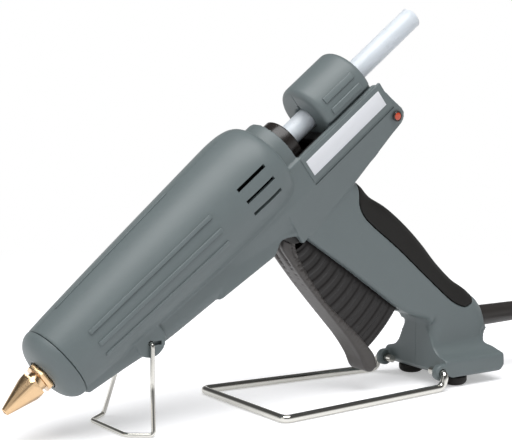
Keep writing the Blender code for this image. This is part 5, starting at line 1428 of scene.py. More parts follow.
def shell_openings():
    """Crisp holes and grooves: nozzle, yoke, hub, vents, lamp, wires, cord, screws, boss notches."""
    tools = [
        rod("spout_hole", on_axis(BARREL_FRONT - OVERRUN, 0.0),
            on_axis(BARREL_FRONT + WALL + OVERRUN, 0.0), CAP_HOLE_RADIUS, ROUND_STEPS),
        across("hub_room", PIVOT, WALL - KEEL_HALF_WIDTH, KEEL_HALF_WIDTH - WALL, HUB_RADIUS + WALL / 2,
               ROUND_STEPS),
        rod("cord_hole", (RELIEF_SEAT - OVERRUN, 0.0, CORD_HEIGHT),
            (BASE_BACK + OVERRUN, 0.0, CORD_HEIGHT), RELIEF_RADIUS + GAP, ROUND_STEPS),
        across("bail_hole", BAIL_PIVOT, -BASE_HALF_WIDTH, BASE_HALF_WIDTH, BAIL_WIRE_RADIUS + GAP),
        rod("lamp_hole", on_axis(LAMP_STATION, LAMP_HEIGHT, -ARM_HALF_WIDTH - OVERRUN),
            on_axis(LAMP_STATION, LAMP_HEIGHT, WALL + OVERRUN - KEEL_HALF_WIDTH), LAMP_RADIUS + GAP)]
    half_height = YOKE_HALF_HEIGHT + YOKE_WINDOW_FIT
    heights = (YOKE_HEIGHT - half_height, YOKE_HEIGHT + half_height)
    yoke_sides = both_sides(YOKE_INNER - YOKE_WINDOW_FIT, YOKE_INNER + YOKE_THICKNESS + YOKE_WINDOW_FIT)
    groove_sides = both_sides(ARM_HALF_WIDTH - GROOVE_DEPTH, ARM_HALF_WIDTH + OVERRUN)
    stand_sides = both_sides(STAND_END - OVERRUN, BASE_HALF_WIDTH + OVERRUN)
    notch_sides = both_sides(BOSS_DISC_FACE - BOSS_NOTCH_DEPTH, BOSS_DISC_FACE + OVERRUN)
    for side in ("near", "far"):
        tools.append(axis_box(f"yoke_window_{side}", (NECK_FRONT - WALL - OVERRUN, NECK_REAR + OVERRUN),
                              heights, yoke_sides[side]))
        tools.append(axis_box(f"label_groove_{side}", (PANEL_START, PANEL_END),
                              (GROOVE_HEIGHT - GROOVE_WIDTH, GROOVE_HEIGHT), groove_sides[side]))
        tools.append(across(f"stand_hole_{side}", STAND_PIVOT, *stand_sides[side],
                            STAND_WIRE_RADIUS + GAP))
        low, high = notch_sides[side]
        x, z = BAIL_PIVOT
        tools.append(box(f"boss_notch_{side}",
                         (x + BAIL_WIRE_RADIUS + GAP, low, z - BOSS_NOTCH_WIDTH / 2),
                         (x + BOSS_NOTCH_LENGTH, high, z + BOSS_NOTCH_WIDTH / 2)))
        for i, angle in enumerate(VENT_ANGLES):
            tools.append(box(f"vent_{side}_{i}", (BELLY_RADIUS - VENT_DEPTH, -VENT_WIDTH / 2, VENT_START),
                             (BELLY_RADIUS + OVERRUN, VENT_WIDTH / 2, VENT_START + VENT_LENGTH),
                             flank_matrix(angle, side)))
    for name, (station, height) in SCREW_PLACES.items():
        face = screw_wall(name)
        floor = face - SCREW_RECESS - SCREW_HEAD_LENGTH - GAP
        shank = SCREW_SHANK_RADIUS + GAP
        head = SCREW_HEAD_RADIUS + GAP
        tools.append(turned(f"screw_seat_{name}", [
            (face + OVERRUN, 0.0), (face + OVERRUN, head), (floor, head), (floor, shank),
            (-SCREW_DEPTH - GAP, shank), (-SCREW_DEPTH - GAP, 0.0)],
            screw_matrix(station, height), SMALL_STEPS))
    return gathered("shell_openings", tools)


def screw_matrix(station, height):
    """Frame whose local Z points to the far side at a place on the barrel's axis frame."""
    return Matrix.Translation(on_axis(station, height)) @ Matrix.Rotation(-math.pi / 2, 4, "X")


def make_shell(shell):
    """Both halves of the housing, moulded as one skin, opened up and parted at the middle plane."""
    form = moulded(shell_form(shell), shell.skin, shell.softening)
    cut(form, inner_rooms())
    cut(form, shell_openings())
    for side, name, node in ((-1, "shell_near", "housing_left"), (1, "shell_far", "housing_right")):
        half = new_form(name, half_of(form.data, side), Matrix.Identity(4))
        half.matrix_world = form.matrix_world
        finished(half, name, FINISH["shell"], "gun", "grey_housing", node)
    bpy.data.objects.remove(form, do_unlink=True)


def make_trim(shell):
    """Raised lines on the shell: flank ribs, the lip along the barrel's back and the label panels."""
    steps = 18
    stations = [RIB_START + RIB_LENGTH * k / steps for k in range(steps + 1)]
    outline = [(barrel_radius(station) + shell.rib_height, station) for station in stations]
    outline += [(barrel_radius(station) - WALL / 2, station) for station in reversed(stations)]
    half = RIB_WIDTH / 2
    ribs = [plate(f"rib_{side}_{i}", outline, -half, half, flank_matrix(angle, side) @ SIDE_VIEW)
            for side in ("near", "far") for i, angle in enumerate(RIB_ANGLES)]
    trim = bevelled(gathered("barrel_ribs", ribs), shell.rib_height * 0.45, 3)
    finished(trim, "barrel_ribs", FINISH["shell"], "gun", "grey_housing")
    stations = [BEAD_START + (BEAD_END - BEAD_START) * k / steps for k in range(steps + 1)]
    lip = [(barrel_radius(station) + shell.bead_height, station) for station in stations]
    lip += [(barrel_radius(station) - WALL / 2, station) for station in reversed(stations)]
    half = BEAD_WIDTH / 2
    bead = plate("back_lip", lip, -half, half, flank_matrix(90.0, "far") @ SIDE_VIEW)
    finished(bevelled(bead, shell.bead_height * 0.4, 3), "back_lip", FINISH["shell"], "gun",
             "grey_housing")
    for side, (low, high) in both_sides(ARM_HALF_WIDTH - WALL / 2, ARM_HALF_WIDTH + PANEL_PROUD).items():
        panel = axis_box(f"label_panel_{side}", (PANEL_START, PANEL_END), (PANEL_BOTTOM, PANEL_TOP),
                         (low, high))
        finished(bevelled(panel, PANEL_EDGE, 3), f"label_panel_{side}", FINISH["shell"], "gun",
                 "grey_housing")


def make_vent_shade_sheets():
    """Near-black sheets close behind the vents, which paint the shade inside the vent slots."""
    shade_sheets = []
    wall = BELLY_RADIUS - WALL - GAP
    for side in ("near", "far"):
        for i, angle in enumerate(VENT_ANGLES):
            shade_sheets.append(box(f"shade_sheet_{side}_{i}",
                              (wall - 2 * GAP - VENT_SHADE_SHEET_THICKNESS, -VENT_SHADE_SHEET_WIDTH / 2,
                               VENT_START - 2 * GAP),
                              (wall - 2 * GAP, VENT_SHADE_SHEET_WIDTH / 2, VENT_START + VENT_LENGTH + 2 * GAP),
                              flank_matrix(angle, side)))
    shields = bevelled(gathered("vent_shade_sheets", shade_sheets), GAP / 2, 2)
    finished(shields, "vent_shade_sheets", FINISH["shield"], "gun", "black_plastic")


def make_grip(shell):
    """Rubber back of the handle: the handle's own rounded form, cut to a shell over its core."""
    grip = plate("grip_form", handle_outline(), -KEEL_HALF_WIDTH, KEEL_HALF_WIDTH,
                 fillet=shell.edge_round, fillet_steps=8)
    keep(grip, plate("grip_trim", grip_zone(GAP), -BASE_HALF_WIDTH, BASE_HALF_WIDTH))
    half = CORE_HALF_WIDTH + GAP
    cut(grip, plate("grip_core", core_outline(GAP), -half, half))
    finished(moulded(grip, shell.skin, 3), "grip_back", FINISH["rubber"], "gun", "black_rubber",
             "rubber_grip")


# Front

def make_cap():
    """Domed front cap: smooth outer dome, plain wall inside, a hole for the nozzle."""
    rear = BARREL_FRONT - GAP
    shares = flow(CAP_SHARES, 4)
    dome = [(rear - CAP_LENGTH * along, NOSE_RADIUS * side) for along, side in shares]
    inner = [(rear - (CAP_LENGTH - CAP_WALL) * along, (NOSE_RADIUS - CAP_WALL) * side)
             for along, side in reversed(shares[:-4])]
    ring = dome + [(CAP_FRONT, CAP_HOLE_RADIUS), (CAP_FRONT + CAP_WALL, CAP_HOLE_RADIUS)] + inner
    cap = bevelled(turned("cap", ring, steps=FINE_STEPS, ring=True), GAP, 2)
    finished(cap, "nose_cap", FINISH["shell"], "gun", "grey_housing", "front_cap")


def make_nozzle():
    """Brass nozzle: hexagon with chamfered corners, a flange, a waist and a bored tip."""
    cone_rear = NOZZLE_TIP + NOZZLE_CONE_LENGTH
    neck_rear = FLANGE_REAR - FLANGE_LENGTH / 2
    tip_flat = NOZZLE_TIP_RADIUS - 2 * NOZZLE_EDGE
    nozzle = turned("nozzle_form", [
        (neck_rear, 0.0), (neck_rear, NOZZLE_NECK_RADIUS), (cone_rear, NOZZLE_NECK_RADIUS),
        (cone_rear, NOZZLE_CONE_RADIUS - NOZZLE_EDGE), (cone_rear - NOZZLE_EDGE, NOZZLE_CONE_RADIUS),
        (NOZZLE_TIP + NOZZLE_EDGE, NOZZLE_TIP_RADIUS), (NOZZLE_TIP, tip_flat), (NOZZLE_TIP, 0.0)],
        steps=ROUND_STEPS)
    keep(nozzle, rod("nozzle_hexagon", on_axis(NOZZLE_TIP - OVERRUN, 0.0), on_axis(FLANGE_REAR, 0.0),
                     NOZZLE_CONE_HEX_RADIUS, 6))
    add(nozzle, rod("nozzle_flange", on_axis(FLANGE_REAR - FLANGE_LENGTH, 0.0), on_axis(FLANGE_REAR, 0.0),
                    FLANGE_RADIUS, 6))
    cut(nozzle, rod("nozzle_bore", on_axis(NOZZLE_TIP - OVERRUN, 0.0),
                    on_axis(FLANGE_REAR + OVERRUN, 0.0), NOZZLE_BORE_RADIUS))
    finished(bevelled(nozzle, NOZZLE_EDGE, 2), "nozzle_tip", FINISH["brass"], "gun", "brass", "nozzle")


# Feed

def make_bush():
    front = BUSH_REAR - BUSH_LENGTH
    edge = BUSH_CHAMFER
    ring = [(BUSH_REAR, BORE_RADIUS + edge), (BUSH_REAR, BUSH_RADIUS - edge),
            (BUSH_REAR - edge, BUSH_RADIUS), (front, BUSH_RADIUS), (front, BORE_RADIUS),
            (BUSH_REAR - edge, BORE_RADIUS)]
    bush = bevelled(turned("bush", ring, ring=True), edge / 4, 2)
    finished(bush, "inlet_ring", FINISH["bush"], "gun", "black_plastic", "inlet_bush")


def make_stick():
    """Glue stick with softened ends."""
    edge = STICK_EDGE
    ends = [(STICK_REAR, 0.0), (STICK_REAR, STICK_RADIUS - edge), (STICK_REAR - edge, STICK_RADIUS)]
    body = [(STICK_REAR + (STICK_FRONT - STICK_REAR) * k / 24, STICK_RADIUS) for k in range(1, 24)]
    front = [(STICK_FRONT + edge, STICK_RADIUS), (STICK_FRONT, STICK_RADIUS - edge), (STICK_FRONT, 0.0)]
    stick = turned("stick", ends + body + front)
    finished(stick, "glue_rod", FINISH["glue"], "stick", "glue", "glue_stick", sharp=RADIANS(60.0))


def make_collar(shell):
    """Sliding collar: rounded ends, flats low on its sides, a jaw pocket, grip bars and a mould line."""
    steps = 8
    rounded = [(CARRIAGE_ROUND * (1 - math.sin(turn)), CARRIAGE_ROUND * (1 - math.cos(turn)))
               for turn in (math.pi / 2 * k / steps for k in range(steps + 1))]
    profile = [(CARRIAGE_REAR - along, CARRIAGE_RADIUS - inward) for along, inward in reversed(rounded)]
    profile += [(CARRIAGE_FRONT + along, CARRIAGE_RADIUS - inward) for along, inward in rounded]
    profile += [(CARRIAGE_FRONT, BORE_RADIUS), (CARRIAGE_REAR, BORE_RADIUS)]
    collar = settle(turned("collar", profile, steps=FINE_STEPS, ring=True))
    middle = (CARRIAGE_FRONT + CARRIAGE_REAR) / 2
    stations = (CARRIAGE_FRONT - OVERRUN, CARRIAGE_REAR + OVERRUN)
    flats = [axis_box(f"collar_flat_{side}", stations, (-CARRIAGE_RADIUS - OVERRUN, CARRIAGE_SHOULDER),
                      sides)
             for side, sides in both_sides(CARRIAGE_FLAT, CARRIAGE_RADIUS + OVERRUN).items()]
    half = JAW_LENGTH / 2
    pocket = axis_box("jaw_pocket", (middle - half - GAP, middle + half + GAP),
                      (0.0, STICK_RADIUS + JAW_HEIGHT + 2 * GAP),
                      (-JAW_WIDTH / 2 - GAP, JAW_WIDTH / 2 + GAP))
    moulded(cut(collar, pocket, *flats), shell.skin * 0.9, 3)
    seam = box("collar_seam", (BORE_RADIUS + GAP, -CARRIAGE_SEAM_WIDTH / 2, CARRIAGE_FRONT - OVERRUN),
               (CARRIAGE_RADIUS - CARRIAGE_ROUND / 2, CARRIAGE_SEAM_WIDTH / 2, CARRIAGE_FRONT + GAP),
               flank_matrix(CARRIAGE_SEAM_ANGLE, "far"))
    notch_middle = CARRIAGE_RADIUS * COLLAR_NOTCH_SHARE
    notch = box("collar_notch",
                (notch_middle - COLLAR_NOTCH_SIZE, -COLLAR_NOTCH_SIZE, CARRIAGE_FRONT - OVERRUN),
                (notch_middle + COLLAR_NOTCH_SIZE, COLLAR_NOTCH_SIZE, CARRIAGE_FRONT + 3 * GAP),
                flank_matrix(COLLAR_NOTCH_ANGLE, "near"))
    cut(collar, seam, notch)
    finished(collar, "feed_collar", FINISH["shell"], "carriage", "grey_housing", "feed_carriage")
    bars = [box(f"collar_bar_{side}_{i}",
                (CARRIAGE_RADIUS - WALL, -CARRIAGE_BAR_WIDTH / 2, middle - BAR_REACH),
                (CARRIAGE_RADIUS + CARRIAGE_BAR_HEIGHT, CARRIAGE_BAR_WIDTH / 2, middle + BAR_REACH),
                flank_matrix(angle, side))
            for side in ("near", "far") for i, angle in enumerate(CARRIAGE_BAR_ANGLES)]
    ribs = bevelled(gathered("collar_bars", bars), CARRIAGE_BAR_HEIGHT * 0.7, 4)
    finished(ribs, "collar_bars", FINISH["shell"], "carriage", "grey_housing")


# Trigger

def lever_places():
    """Matching points down the lever's front and its back, from its top to its bulb."""
    front = flow(lever_span(LEVER_FRONT_SHARES[1:]), 4)
    back = flow(lever_span(tuple(reversed(LEVER_BACK_SHARES))), 4)
    places = []
    for k in range(LEVER_PLACES + 1):
        share = k / LEVER_PLACES
        ahead = Vector(front[round(share * (len(front) - 1))])
        behind = Vector(back[round(share * (len(back) - 1))])
        places.append((ahead, behind))
    return places


def make_lever(trigger):
    """Lever: rounded all along, with long flutes down its front and cheeks that run out at the bulb."""
    lever = plate("lever_form", lever_outline(), -TRIGGER_HALF_WIDTH, TRIGGER_HALF_WIDTH,
                  fillet=trigger.lever_round, fillet_steps=6)
    moulded(lever, LEVER_SKIN, 4)
    lever.data.transform(lever.matrix_world)
    lever.matrix_world = Matrix.Identity(4)
    cut(lever, across("lever_seat", PIVOT, -FORK_REACH, FORK_REACH, HUB_RADIUS + GAP, ROUND_STEPS))
    places = lever_places()
    middles = [(front + back) / 2 for front, back in places]
    for vertex in lever.data.vertices:
        point = Vector((vertex.co.x, vertex.co.z))
        k = min(range(len(places)), key=lambda i: (middles[i] - point).length_squared)
        front, back = places[k]
        way = (back - front).normalized()
        depth = (point - front).dot(way) / (back - front).length
        fade = min(1.0, max(0.0, (1.0 - k / LEVER_PLACES) / LEVER_FLUTE_FADE))
        flute = math.exp(-((abs(vertex.co.y) - LEVER_FLUTE_SIDE) / LEVER_FLUTE_WIDTH)**2)
        ahead = min(1.0, max(0.0, (LEVER_FLUTE_END_SHARE - depth) / LEVER_FLUTE_BLEND_SHARE))
        inward = trigger.groove * fade * flute * ahead
        aside = min(1.0, abs(vertex.co.y) / TRIGGER_HALF_WIDTH)
        cheek = math.exp(-((depth - LEVER_CHEEK_SHARE) / LEVER_CHEEK_WIDTH_SHARE)**2) * aside**4
        vertex.co.x += way.x * inward
        vertex.co.z += way.y * inward
        vertex.co.y *= 1.0 - trigger.groove * LEVER_CHEEK_DEPTH_SHARE * fade * cheek / TRIGGER_HALF_WIDTH
    finished(lever, "lever", FINISH["lever"], "trigger", "dark_grip_plastic", "trigger_lever")


def web_start_angle(radius, root):
    """Angle about the pivot where the web leaves the lever's back, at a radius."""
    for (near_radius, near_angle), (far_radius, far_angle) in zip(root, root[1:]):
        if near_radius <= radius <= far_radius:
            share = (radius - near_radius) / (far_radius - near_radius)
            return near_angle + (far_angle - near_angle) * share
    return root[0][1] if radius < root[0][0] else root[-1][1]


def make_web(trigger):
    """Black web behind the lever: thin raised ribs that follow the swing about the pivot."""
    outline = inset(lever_outline(), LEVER_OVERLAP)
    back = outline[-FLOW_STEPS * (len(LEVER_BACK_SHARES) - 1) - 1:-1]
    root = sorted((math.hypot(px - PIVOT[0], pz - PIVOT[1]), math.atan2(pz - PIVOT[1], px - PIVOT[0]))
                  for px, pz in back)
    rows = []
    for i in range(WEB_RADIUS_STEPS + 1):
        radius = WEB_INNER_RADIUS + (WEB_RADIUS - WEB_INNER_RADIUS) * i / WEB_RADIUS_STEPS
        phase = (i * WEB_RIBS / WEB_RADIUS_STEPS) % 1.0
        crest = max(0.0, 1.0 - abs(phase - 0.5) / WEB_RIB_SHARE)
        half = WEB_HALF_WIDTH - trigger.web_step * (1.0 - min(1.0, 2.0 * crest))
        start = web_start_angle(radius, root)
        rows.append([(radius, start + (WEB_REST_ANGLE - start) * j / WEB_TURN_STEPS, half)
                     for j in range(WEB_TURN_STEPS + 1)])
    shape = bmesh.new()
    sheets = []
    for side in (-1, 1):
        sheets.append([[shape.verts.new((PIVOT[0] + radius * math.cos(turn), side * half,
                                         PIVOT[1] + radius * math.sin(turn)))
                        for radius, turn, half in row]
                       for row in rows])
    near, far = sheets
    for sheet in sheets:
        for a, b in zip(sheet, sheet[1:]):
            for j in range(WEB_TURN_STEPS):
                shape.faces.new((a[j], a[j + 1], b[j + 1], b[j]))
    rims = [(near[0], far[0]), (near[-1], far[-1]), ([row[0] for row in near], [row[0] for row in far]),
            ([row[-1] for row in near], [row[-1] for row in far])]
    for a, b in rims:
        for j in range(len(a) - 1):
            shape.faces.new((a[j], a[j + 1], b[j + 1], b[j]))
    bmesh.ops.recalc_face_normals(shape, faces=shape.faces)
    mesh = bpy.data.meshes.new("web")
    shape.to_mesh(mesh)
    shape.free()
    web = new_form("web", mesh, Matrix.Identity(4))
    finished(web, "lever_web", FINISH["web"], "trigger", "black_plastic", "trigger_web",
             sharp=RADIANS(50.0))


# Labels, lamp, screws and feet

def make_labels():
    stations = (LABEL_START, LABEL_START + LABEL_LENGTH)
    heights = (LABEL_MIDDLE - LABEL_WIDTH / 2, LABEL_MIDDLE + LABEL_WIDTH / 2)
    floor = ARM_HALF_WIDTH - LABEL_THICKNESS + GAP
    face = ARM_HALF_WIDTH + PANEL_PROUD + LABEL_PROUD
    for side, node in (("near", "label_plate_left"), ("far", "label_plate_right")):
        label = axis_box(f"label_{side}", stations, heights, both_sides(floor, face)[side])
        finished(bevelled(label, LABEL_EDGE, 2), f"bare_label_{side}", FINISH["label"], "gun",
                 "label_white", node)


def make_lamp():
    """Domed red lens in a slim rim."""
    back = KEEL_HALF_WIDTH - WALL - GAP
    face = ARM_HALF_WIDTH + GAP
    place = Matrix.Translation(on_axis(LAMP_STATION, LAMP_HEIGHT)) @ Matrix.Rotation(math.pi / 2, 4, "X")
    steps = 10
    dome = [(face + LAMP_RADIUS * 0.3 * math.sin(turn), LAMP_RADIUS * math.cos(turn))
            for turn in (math.pi / 2 * (1 - k / steps) for k in range(steps + 1))]
    lens = turned("lens", dome + [(back, LAMP_RADIUS), (back, 0.0)], place, SMALL_STEPS)
    finished(lens, "lamp_lens", FINISH["lens"], "gun", "lamp_red", "indicator_lamp", sharp=RADIANS(60.0))
    inner = LAMP_RADIUS + GAP / 3
    ring = [(face + GAP, inner), (face + GAP, inner + LAMP_RIM / 2), (face, inner + LAMP_RIM),
            (face - 2 * GAP, inner + LAMP_RIM), (face - 2 * GAP, inner)]
    rim = turned("rim", ring, place, SMALL_STEPS, ring=True)
    finished(rim, "lamp_rim", FINISH["bush"], "gun", "black_plastic")


def make_screws():
    """Pan-headed screws with a cross recess, sunk in the far half."""
    for name, (station, height) in SCREW_PLACES.items():
        head = screw_wall(name) - SCREW_RECESS
        under = head - SCREW_HEAD_LENGTH
        steps = 6
        crown = [(head - SCREW_HEAD_LENGTH * 0.45 * (1 - math.cos(turn)),
                  SCREW_HEAD_RADIUS * math.sin(turn))
                 for turn in (math.pi / 2 * k / steps for k in range(steps + 1))]
        place = screw_matrix(station, height)
        screw = turned(f"screw_{name}", crown + [
            (under, SCREW_HEAD_RADIUS), (under, SCREW_SHANK_RADIUS), (-SCREW_DEPTH, SCREW_SHANK_RADIUS),
            (-SCREW_DEPTH, 0.0)], place, SMALL_STEPS)
        arms = []
        for reach, width in ((SCREW_CROSS_REACH, SCREW_CROSS_WIDTH),
                             (SCREW_CROSS_WIDTH, SCREW_CROSS_REACH)):
            arms.append(box("cross", (-reach / 2, -width / 2, head - SCREW_CROSS_DEPTH),
                            (reach / 2, width / 2, head + OVERRUN), place))
        cut(screw, *arms)
        finished(screw, f"screw_{name}", FINISH["zinc"], "gun", "zinc_steel", f"housing_screw_{name}")


def make_feet():
    top = BASE_FLOOR - GAP
    profile = [(top, 0.0)] + [(top * up, FOOT_RADIUS * side) for up, side in FOOT_SHARES] + [(0.0, 0.0)]
    x, y = FOOT_PLACE
    for name, side in (("left", -y), ("right", y)):
        foot = turned(f"foot_{name}", profile, Matrix.Translation((x, side, 0.0)), ROUND_STEPS)
        finished(foot, f"foot_{name}", FINISH["rubber"], "gun", "black_rubber", f"rubber_foot_{name}")


# Wires

def mirrored(half):
    """Whole path of a wire from the corners of its far half."""
    return [(px, -py, pz) for px, py, pz in half] + list(reversed(half))


def make_bail():
    """Front wire: both ends turned in on the pivot, legs spread to a foot with a short toe."""
    x, z = BAIL_PIVOT
    floor = BAIL_WIRE_RADIUS
    half = [(x, BAIL_END, z), (x, BAIL_LEG, z),
            (x + BAIL_KINK_SHIFT, BAIL_LEG + BAIL_KINK_SPREAD, z - BAIL_KINK_DROP),
            (x + BAIL_FOOT_SHIFT, BAIL_LEG + BAIL_FOOT_SPREAD, floor),
            (x + BAIL_TOE_SHIFT, BAIL_TOE_HALF_WIDTH, floor)]
    bail = tube("bail", rounded_path(mirrored(half), BAIL_CORNER), BAIL_WIRE_RADIUS, 5)
    finished(bail, "bail_wire", FINISH["wire"], "bail", "steel_wire", "front_bail", sharp=RADIANS(60.0))


def make_stand():
    """Rear wire loop: both ends turned in through the foot's lugs, a wide bar across the front."""
    x, z = STAND_PIVOT
    floor = STAND_WIRE_RADIUS
    heel = BASE_HALF_WIDTH + GAP + STAND_WIRE_RADIUS
    half = [(x, STAND_END, z), (x, heel, z), (x - STAND_HEEL_SHIFT, heel, floor),
            (x - STAND_LENGTH, STAND_HALF_WIDTH, floor)]
    stand = tube("stand", rounded_path(mirrored(half), STAND_CORNER, 10), STAND_WIRE_RADIUS, 7)
    finished(stand, "stand_wire", FINISH["wire"], "stand", "steel_wire", "rear_stand",
             sharp=RADIANS(60.0))


# Cord and plug

def coil_path():
    """Centre line of the coil: it spirals in on the floor, climbs a layer, and spirals out again."""
    start = Vector(CORD_ROUTE[-1])
    lead = 2 * CORD_RADIUS
    centre = start + Vector((lead + GAP, -COIL_OUTER, 0.0))
    inward = COIL_TURNS_PER_LAYER * COIL_POINTS
    climb = COIL_POINTS // 2
    path = [start + Vector((GAP, 0.0, 0.0))]
    total = 2 * inward + climb
    for k in range(total + 1):
        turn = math.pi / 2 - 2 * math.pi * k / COIL_POINTS
        rise = min(max((k - inward) / climb, 0.0), 1.0)
        radius = COIL_OUTER - COIL_PITCH * min(k, total - k) / COIL_POINTS
        path.append(centre + Vector((radius * math.cos(turn), radius * math.sin(turn),
                                     COIL_LAYER_RISE * rise)))
    last = path[-1]
    tail = COIL_OUTER + CORD_RADIUS + GAP - PLUG_COLLAR_LENGTH
    path += [last + Vector((-lead, 0.0, 0.0)), last + Vector((-tail, 0.0, 0.0))]
    return path


def make_cord(settings):
    """Strain relief, the mains cord with its coil held by a tie, and the plug at its end."""
    relief = make_relief(settings)
    path = [point + SHIFT for point in smooth_path(CORD_ROUTE, CORD_POINT_STEP) + coil_path()]
    wire = wire_curve("mains_lead", path, CORD_RADIUS, 6)
    wire.data.materials.append(FINISH["cord"])
    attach(wire, "gun")
    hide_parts("mains_cord", "cord_coil")
    tie = make_tie(settings)
    plug = make_plug(coil_path()[-1])


def make_relief(settings):
    """Tapered sleeve where the cord leaves the foot."""
    place = Matrix.Translation((0.0, 0.0, CORD_HEIGHT)) @ Matrix.Rotation(math.pi / 2, 4, "Y")
    steps = 24
    profile = [(RELIEF_END, 0.0), (RELIEF_END, CORD_RADIUS + GAP)]
    for k in range(steps + 1):
        share = k / steps
        radius = RELIEF_TIP_RADIUS + (RELIEF_RADIUS - RELIEF_TIP_RADIUS) * share
        groove = 0.0
        if settings.relief_rings and RELIEF_GROOVED[0] < share < RELIEF_GROOVED[1]:
            groove = GAP * (1 - math.cos(2 * math.pi * settings.relief_rings * share))
        profile.append((RELIEF_END - (RELIEF_END - RELIEF_SEAT) * share - GAP, radius - groove))
    profile.append((RELIEF_SEAT, 0.0))
    relief = turned("relief", profile, place, ROUND_STEPS)
    return finished(relief, "relief_sleeve", FINISH["cord"], "gun", "cord_black", "strain_relief")


def make_tie(settings):
    """Strap round one side of the coil."""
    start = Vector(CORD_ROUTE[-1])
    centre = start + Vector((2 * CORD_RADIUS + GAP, -COIL_OUTER, 0.0))
    inner = COIL_OUTER - COIL_TURNS_PER_LAYER * COIL_PITCH - CORD_RADIUS - GAP
    outer = COIL_OUTER + CORD_RADIUS + GAP
    top = 2 * CORD_RADIUS + COIL_LAYER_RISE + GAP
    frame_of_tie = Matrix.Translation(centre) @ Matrix.Rotation(TIE_ANGLE, 4, "Z")
    frame_of_tie @= Matrix.Rotation(math.pi / 2, 4, "X")
    ends = arc((outer - CORD_RADIUS, top - CORD_RADIUS), CORD_RADIUS + TIE_THICKNESS, 0.0, math.pi / 2, 6)
    ends += arc((inner + CORD_RADIUS, top - CORD_RADIUS), CORD_RADIUS + TIE_THICKNESS, math.pi / 2,
                math.pi, 6)
    loop = ends + [(inner - TIE_THICKNESS, 0.0), (outer + TIE_THICKNESS, 0.0)]
    hole = inset(loop, TIE_THICKNESS)[:-2] + [(inner, -OVERRUN), (outer, -OVERRUN)]
    half = settings.tie_width / 2
    tie = plate("tie", loop, -half, half, frame_of_tie)
    cut(tie, plate("tie_hole", hole, -half - OVERRUN, half + OVERRUN, frame_of_tie))
    return finished(bevelled(tie, TIE_THICKNESS / 4, 2), "coil_tie", FINISH["strap"], "gun",
                    "black_rubber")


def make_plug(end):
    """Plug with a round collar, finger ribs and two round pins with rounded tips."""
    collar_start = end.x - GAP
    collar_end = collar_start - PLUG_COLLAR_LENGTH
    face = collar_end - PLUG_LENGTH
    half = PLUG_WIDTH / 2
    outline = [(face, end.y - half), (collar_end - PLUG_FILLET, end.y - half),
               (collar_end, end.y - half / 2), (collar_end, end.y + half / 2),
               (collar_end - PLUG_FILLET, end.y + half), (face, end.y + half)]
    middle = PLUG_HEIGHT / 2
    body = plate("plug_form", outline, 0.0, PLUG_HEIGHT, Matrix.Identity(4), PLUG_FILLET, 6)
    collar = rod("plug_collar", (collar_end - PLUG_FILLET, end.y, middle), (collar_start, end.y, middle),
                 PLUG_COLLAR_RADIUS)
    grooves = []
    for share in PLUG_RIB_SHARES:
        x = face + PLUG_LENGTH * share
        for side in (-1, 1):
            y = end.y + side * half
            grooves.append(rod("finger_groove", (x, y, 0.0), (x, y, PLUG_HEIGHT), PLUG_GROOVE_RADIUS))
    add(body, collar)
    cut(body, *grooves)
    pieces = [finished(moulded(body, PLUG_SKIN, 3), "plug", FINISH["plug"], "gun", "black_plastic",
                       "plug_body")]
    for name, side in (("left", -PLUG_PIN_SPACING / 2), ("right", PLUG_PIN_SPACING / 2)):
        place = Matrix.Translation((face - GAP, end.y + side, middle))
        place @= Matrix.Rotation(-math.pi / 2, 4, "Y")
        tip = [(PLUG_PIN_LENGTH - PLUG_PIN_RADIUS * (1 - math.sin(turn)) * 0.6,
                PLUG_PIN_RADIUS * math.cos(turn))
               for turn in (math.pi / 2 * (1 - k / 6) for k in range(7))]
        pin = turned(f"pin_{name}", tip + [(0.0, PLUG_PIN_RADIUS), (0.0, 0.0)], place, SMALL_STEPS)
        pieces.append(finished(pin, f"plug_pin_tip_{name}", FINISH["zinc"], "gun", "zinc_steel",
                               f"plug_pin_{name}"))
    return pieces


# Pieces inside, which stay as they come with the frame

INNER_FINISHES = {
    "zinc": ("nozzle_washer", "element_clamp", "thermal_fuse", "gripper_jaw", "trigger_pin"),
    "ceramic": ("heating_element", "heater_support_front", "heater_support_rear", "feed_sleeve",
                "terminal_block"),
    "aluminium": ("heater_block",),
    "channel": ("feed_channel", "feed_yoke", "trigger_fork"),
    "wire": ("return_spring",),
    "board": ("lamp_board",),
}


def finish_inner_nodes():
    for finish, names in INNER_FINISHES.items():
        for name in names:
            for slot in frame["nodes"][name].material_slots:
                slot.material = FINISH[finish]


# Studio

def make_camera():
    turn = RADIANS(CAMERA_AZIMUTH)
    rise = RADIANS(CAMERA_ELEVATION)
    back = Vector((math.sin(turn) * math.cos(rise), -math.cos(turn) * math.cos(rise), math.sin(rise)))
    camera = bpy.data.objects.new("studio_camera", bpy.data.cameras.new("studio_camera"))
    bpy.context.scene.collection.objects.link(camera)
    camera.location = Vector(CAMERA_TARGET) + SHIFT + back * CAMERA_DISTANCE
    camera.rotation_euler = back.to_track_quat("Z", "Y").to_euler()
    camera.data.sensor_fit = "HORIZONTAL"
    camera.data.sensor_width = 36.0
    camera.data.lens = CAMERA_LENS
    camera.data.clip_start = 0.01
    camera.data.clip_end = 20.0
    bpy.context.scene.camera = camera


def make_softbox(name, place, target, size, power):
    light = bpy.data.lights.new(name, "AREA")
    light.shape = "RECTANGLE"
    light.size, light.size_y = size
    light.energy = power
    lamp = bpy.data.objects.new(name, light)
    bpy.context.scene.collection.objects.link(lamp)
    lamp.location = place
    lamp.rotation_euler = (Vector(place) - Vector(target)).to_track_quat("Z", "Y").to_euler()


def seen_directly(tree):
    """1 for camera, glossy and transmission rays, 0 for the light that falls on surfaces."""
    path = tree.nodes.new("ShaderNodeLightPath").outputs
    seen = math_node(tree, "MAXIMUM", path["Is Camera Ray"], path["Is Glossy Ray"])
    return math_node(tree, "MAXIMUM", seen, path["Is Transmission Ray"]), path


